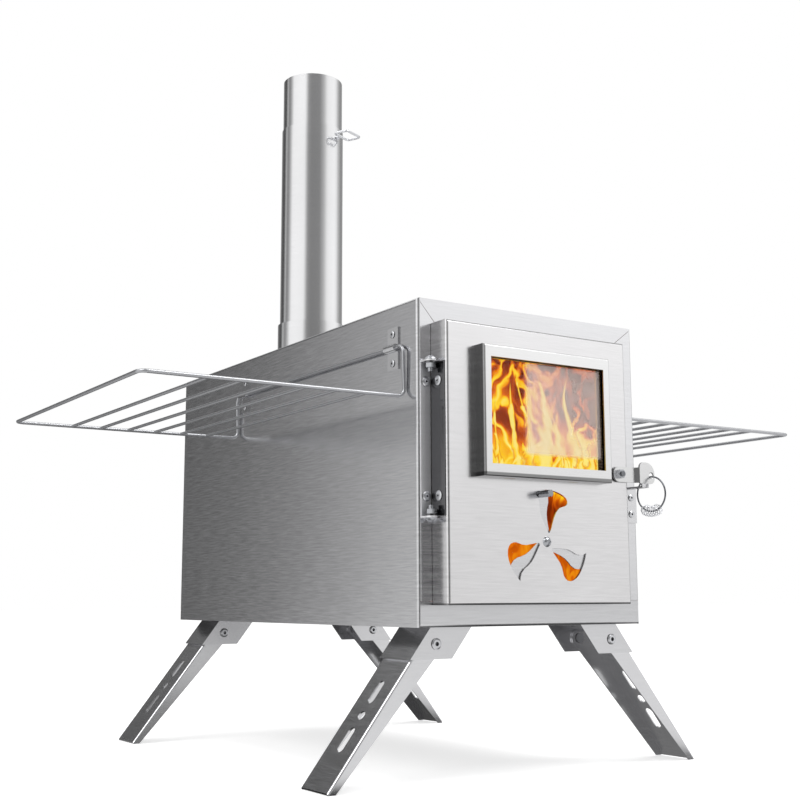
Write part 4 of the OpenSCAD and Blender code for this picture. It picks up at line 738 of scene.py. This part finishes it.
def plated_steel(name, colour, roughness, spots=1200, axis=None):
    """Plated, turned or drawn steel: bright, with a fine, faint mottle of spots a metre. A rivet has an axis,
    and painted shade darkens its rim and hole, which look away from it."""
    material, tree = new_material(name)
    place = add(tree, "ShaderNodeTexCoord")
    mottle = add(tree, "ShaderNodeTexNoise", {
        "Vector": place.outputs["Object"], "Scale": spots, "Detail": 3, "Roughness": 0.5})
    tone = add(tree, "ShaderNodeMapRange", {
        "Value": mottle, "From Min": 0.3, "From Max": 0.7, "To Min": 0.94, "To Max": 1.04})
    # painted shade on the faces that look away from the rivet's axis
    if axis:
        facing = add(tree, "ShaderNodeSeparateXYZ", {0: place.outputs["Normal"]})
        square_on = add(tree, "ShaderNodeMath", {0: facing.outputs[axis]}, operation="ABSOLUTE")
        rim_and_hole_painted_shade = add(tree, "ShaderNodeMapRange", {
            "Value": square_on, "From Min": 0.5, "From Max": 0.85, "To Min": 0.16, "To Max": 1})
        tone = add(tree, "ShaderNodeMath", {0: tone, 1: rim_and_hole_painted_shade}, operation="MULTIPLY")
    metal = add(tree, "ShaderNodeVectorMath", {0: linear(colour)[:3], "Scale": tone}, operation="SCALE")
    gloss = add(tree, "ShaderNodeMapRange", {
        "Value": mottle, "From Min": 0.3, "From Max": 0.7,
        "To Min": roughness - 0.02, "To Max": roughness + 0.04})
    relief = add(tree, "ShaderNodeBump", {"Height": mottle, "Strength": 0.1, "Distance": 0.02 * MM})
    plated = add(tree, "ShaderNodeBsdfPrincipled", {
        "Base Color": metal, "Metallic": 1, "Roughness": gloss, "Normal": relief})
    add(tree, "ShaderNodeOutputMaterial", {"Surface": plated})
    return material


# zinc is a soft blue-grey, the turned peg a darker, sharper grey
zinc = plated_steel("zinc_plated_steel", "#b9bbbf", 0.26)
turned = plated_steel("turned_steel_peg", "#a4a6aa", 0.24)
dress(turned, "vent_peg")
dress(zinc, "vent_screw", "vent_washer", "vent_nut")

# ---------------------------------------------------------------------------
# Hinge: two pressed leaves with ears, riveted to frame and door, that turn on
# a cross-head screw and nut at each end.
# ---------------------------------------------------------------------------
# the leaf on the frame is bead-blasted to a pale satin; the one on the door is polished, and its colour is
# darkened as painted shade
satin_leaf = brushed_steel("satin_stainless_leaf", "#f6f6f8", 0.5, grain=0.5)
dark_leaf = brushed_steel("painted_shade_dark_stainless_leaf", "#727274", 0.15, grain=0.5)
# the rivets' crowns are pale and painted shade darkens their rims and holes; each set has its own axis
rivet_steel = plated_steel("bright_blind_rivet", "#dcdde0", 0.3, axis="Y")
side_rivet_steel = plated_steel("bright_side_rivet", "#dcdde0", 0.3, axis="X")
under_rivet_steel = plated_steel("bright_upright_rivet", "#dcdde0", 0.3, axis="Z")
dress(satin_leaf, "hinge_body_leaf")
dress(dark_leaf, "hinge_door_leaf")
dress(rivet_steel, "hinge_body_rivets")
dress(side_rivet_steel, "hinge_door_rivets")
dress(zinc, "hinge_screws", "hinge_nuts")

# ---------------------------------------------------------------------------
# Latch: a stamped lever with a stepped finger plate on a bolt and nut, and the
#  bent catch riveted to the frame. Lever and catch are brushed stainless with
#  painted shade on their cut edges, the bolt is dull plated steel.
# ---------------------------------------------------------------------------
# painted shade: rim darkens the cut edges of lever and catch
lever_steel = brushed_steel("brushed_stainless_lever", "#e8e8e8", 0.22, grain=0.5, rim=0.2)
catch_steel = brushed_steel("brushed_stainless_catch", "#e6e6e8", 0.2, grain=0.5, rim=0.3)
bolt_steel = plated_steel("dull_plated_bolt", "#808286", 0.3)
dress(lever_steel, "latch_lever")
dress(catch_steel, "latch_catch")
dress(bolt_steel, "latch_bolt")
dress(zinc, "latch_spacer", "latch_nut")
dress(rivet_steel, "catch_rivets")

# ---------------------------------------------------------------------------
# Pull ring: spring wire through the lever's hole, drawn to a dark even gloss,
# with a grip of finer, brighter wire wound loosely round its lower part to keep
# fingers off the hot ring.
# ---------------------------------------------------------------------------
RING_RADIUS, RING_WIRE, RING_YAW = 16.5 * MM, 1.6 * MM, math.radians(82)
COIL_WIRE, COIL_TURNS, COIL_SPAN, COIL_PLAY = 0.9 * MM, 10, math.radians(42), 3.6 * MM
COIL_SEAT = 0.08 * MM                       # gap between the end turns and the ring
COIL_LEAD = 1.5                             # turns in which the coil opens from its seat to its play
COIL_STEPS, COIL_SIDES = 26, 10

drawn_wire = plated_steel("drawn_spring_wire", "#74767b", 0.28, spots=900)
bright_wire = plated_steel("bright_coil_wire", "#e6e7ea", 0.34, spots=900)
dress(drawn_wire, "latch_ring")

ring_low, ring_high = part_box("latch_ring")
ring_centre = (ring_low + ring_high) / 2
ring_way = Vector((math.cos(RING_YAW), -math.sin(RING_YAW), 0))
ring_axis = Vector((math.sin(RING_YAW), math.cos(RING_YAW), 0))
grip_radius = RING_WIRE / 2 + COIL_WIRE / 2 + COIL_SEAT
open_radius = RING_WIRE / 2 + COIL_WIRE / 2 + COIL_PLAY
count = COIL_TURNS * COIL_STEPS
line, outward = [], []
for i in range(count + 1):
    bend = COIL_SPAN * (2 * i / count - 1)
    spin = 2 * math.pi * i / COIL_STEPS
    spoke = ring_way * math.sin(bend) - Vector((0, 0, 1)) * math.cos(bend)
    wind = grip_radius + (open_radius - grip_radius) * min(1, min(i, count - i) / (COIL_LEAD * COIL_STEPS))
    ray = spoke * math.cos(spin) + ring_axis * math.sin(spin)
    line.append(ring_centre + spoke * RING_RADIUS + ray * wind)
    outward.append(ray)
points = []
for i, middle in enumerate(line):
    way = (line[min(i + 1, count)] - line[max(i - 1, 0)]).normalized()
    out = (outward[i] - way * outward[i].dot(way)).normalized()
    side = way.cross(out)
    for k in range(COIL_SIDES):
        a = 2 * math.pi * k / COIL_SIDES
        points.append(middle + (out * math.cos(a) + side * math.sin(a)) * COIL_WIRE / 2)
grip = new_mesh("wound_grip", points, tube_faces(count + 1, COIL_SIDES))
grip.data.materials.append(bright_wire)
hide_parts("coil_grip")
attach(grip, "pull_ring")

# ---------------------------------------------------------------------------
# Legs: channels folded from the same sheet, with slots punched in the web, that
# turn on rivets in brackets riveted under the pan; their brushing is fainter.
# ---------------------------------------------------------------------------
leg_steel = brushed_steel("brushed_stainless_legs", "#e8e8ea", 0.22, grain=0.7)
bracket_steel = brushed_steel("brushed_stainless_brackets", "#e2e2e4", 0.22, grain=0.7)
for corner in ("fl", "fr", "rl", "rr"):
    dress(leg_steel, f"leg_{corner}")
    dress(bracket_steel, f"leg_bracket_{corner}")
dress(rivet_steel, "leg_rivets")
dress(under_rivet_steel, "bracket_rivets")

# ---------------------------------------------------------------------------
# Side racks: frames and cross bars of drawn wire with a pale even gloss, welded,
# that swing in rolled knuckles on riveted plates.
# ---------------------------------------------------------------------------
rack_wire = plated_steel("drawn_rack_wire", "#bcbdc0", 0.34, spots=700)
leaf_steel = brushed_steel("pressed_stainless_leaf", "#e2e2e4", 0.15, grain=0.5)
dress(rack_wire, "rack_left", "rack_right")
dress(leaf_steel, "rack_brackets")
dress(side_rivet_steel, "rack_rivets")

# ---------------------------------------------------------------------------
# Chimney: a spun collar riveted to the top sheet, two nesting pipes of rolled
# stainless, grained so faintly and finely that they mirror the room, and a
# heat-scaled damper plate turned by a bent wire handle.
# ---------------------------------------------------------------------------
pipe_steel = brushed_steel("rolled_stainless_pipe", "#e2e2e3", 0.16, grain=0.35, fineness=2.5)
dress(pipe_steel, "flue_collar", "pipe_lower", "pipe_upper")
dress(under_rivet_steel, "collar_rivets")
dress(burnt_steel, "damper_plate")
dress(bright_wire, "damper_rod")
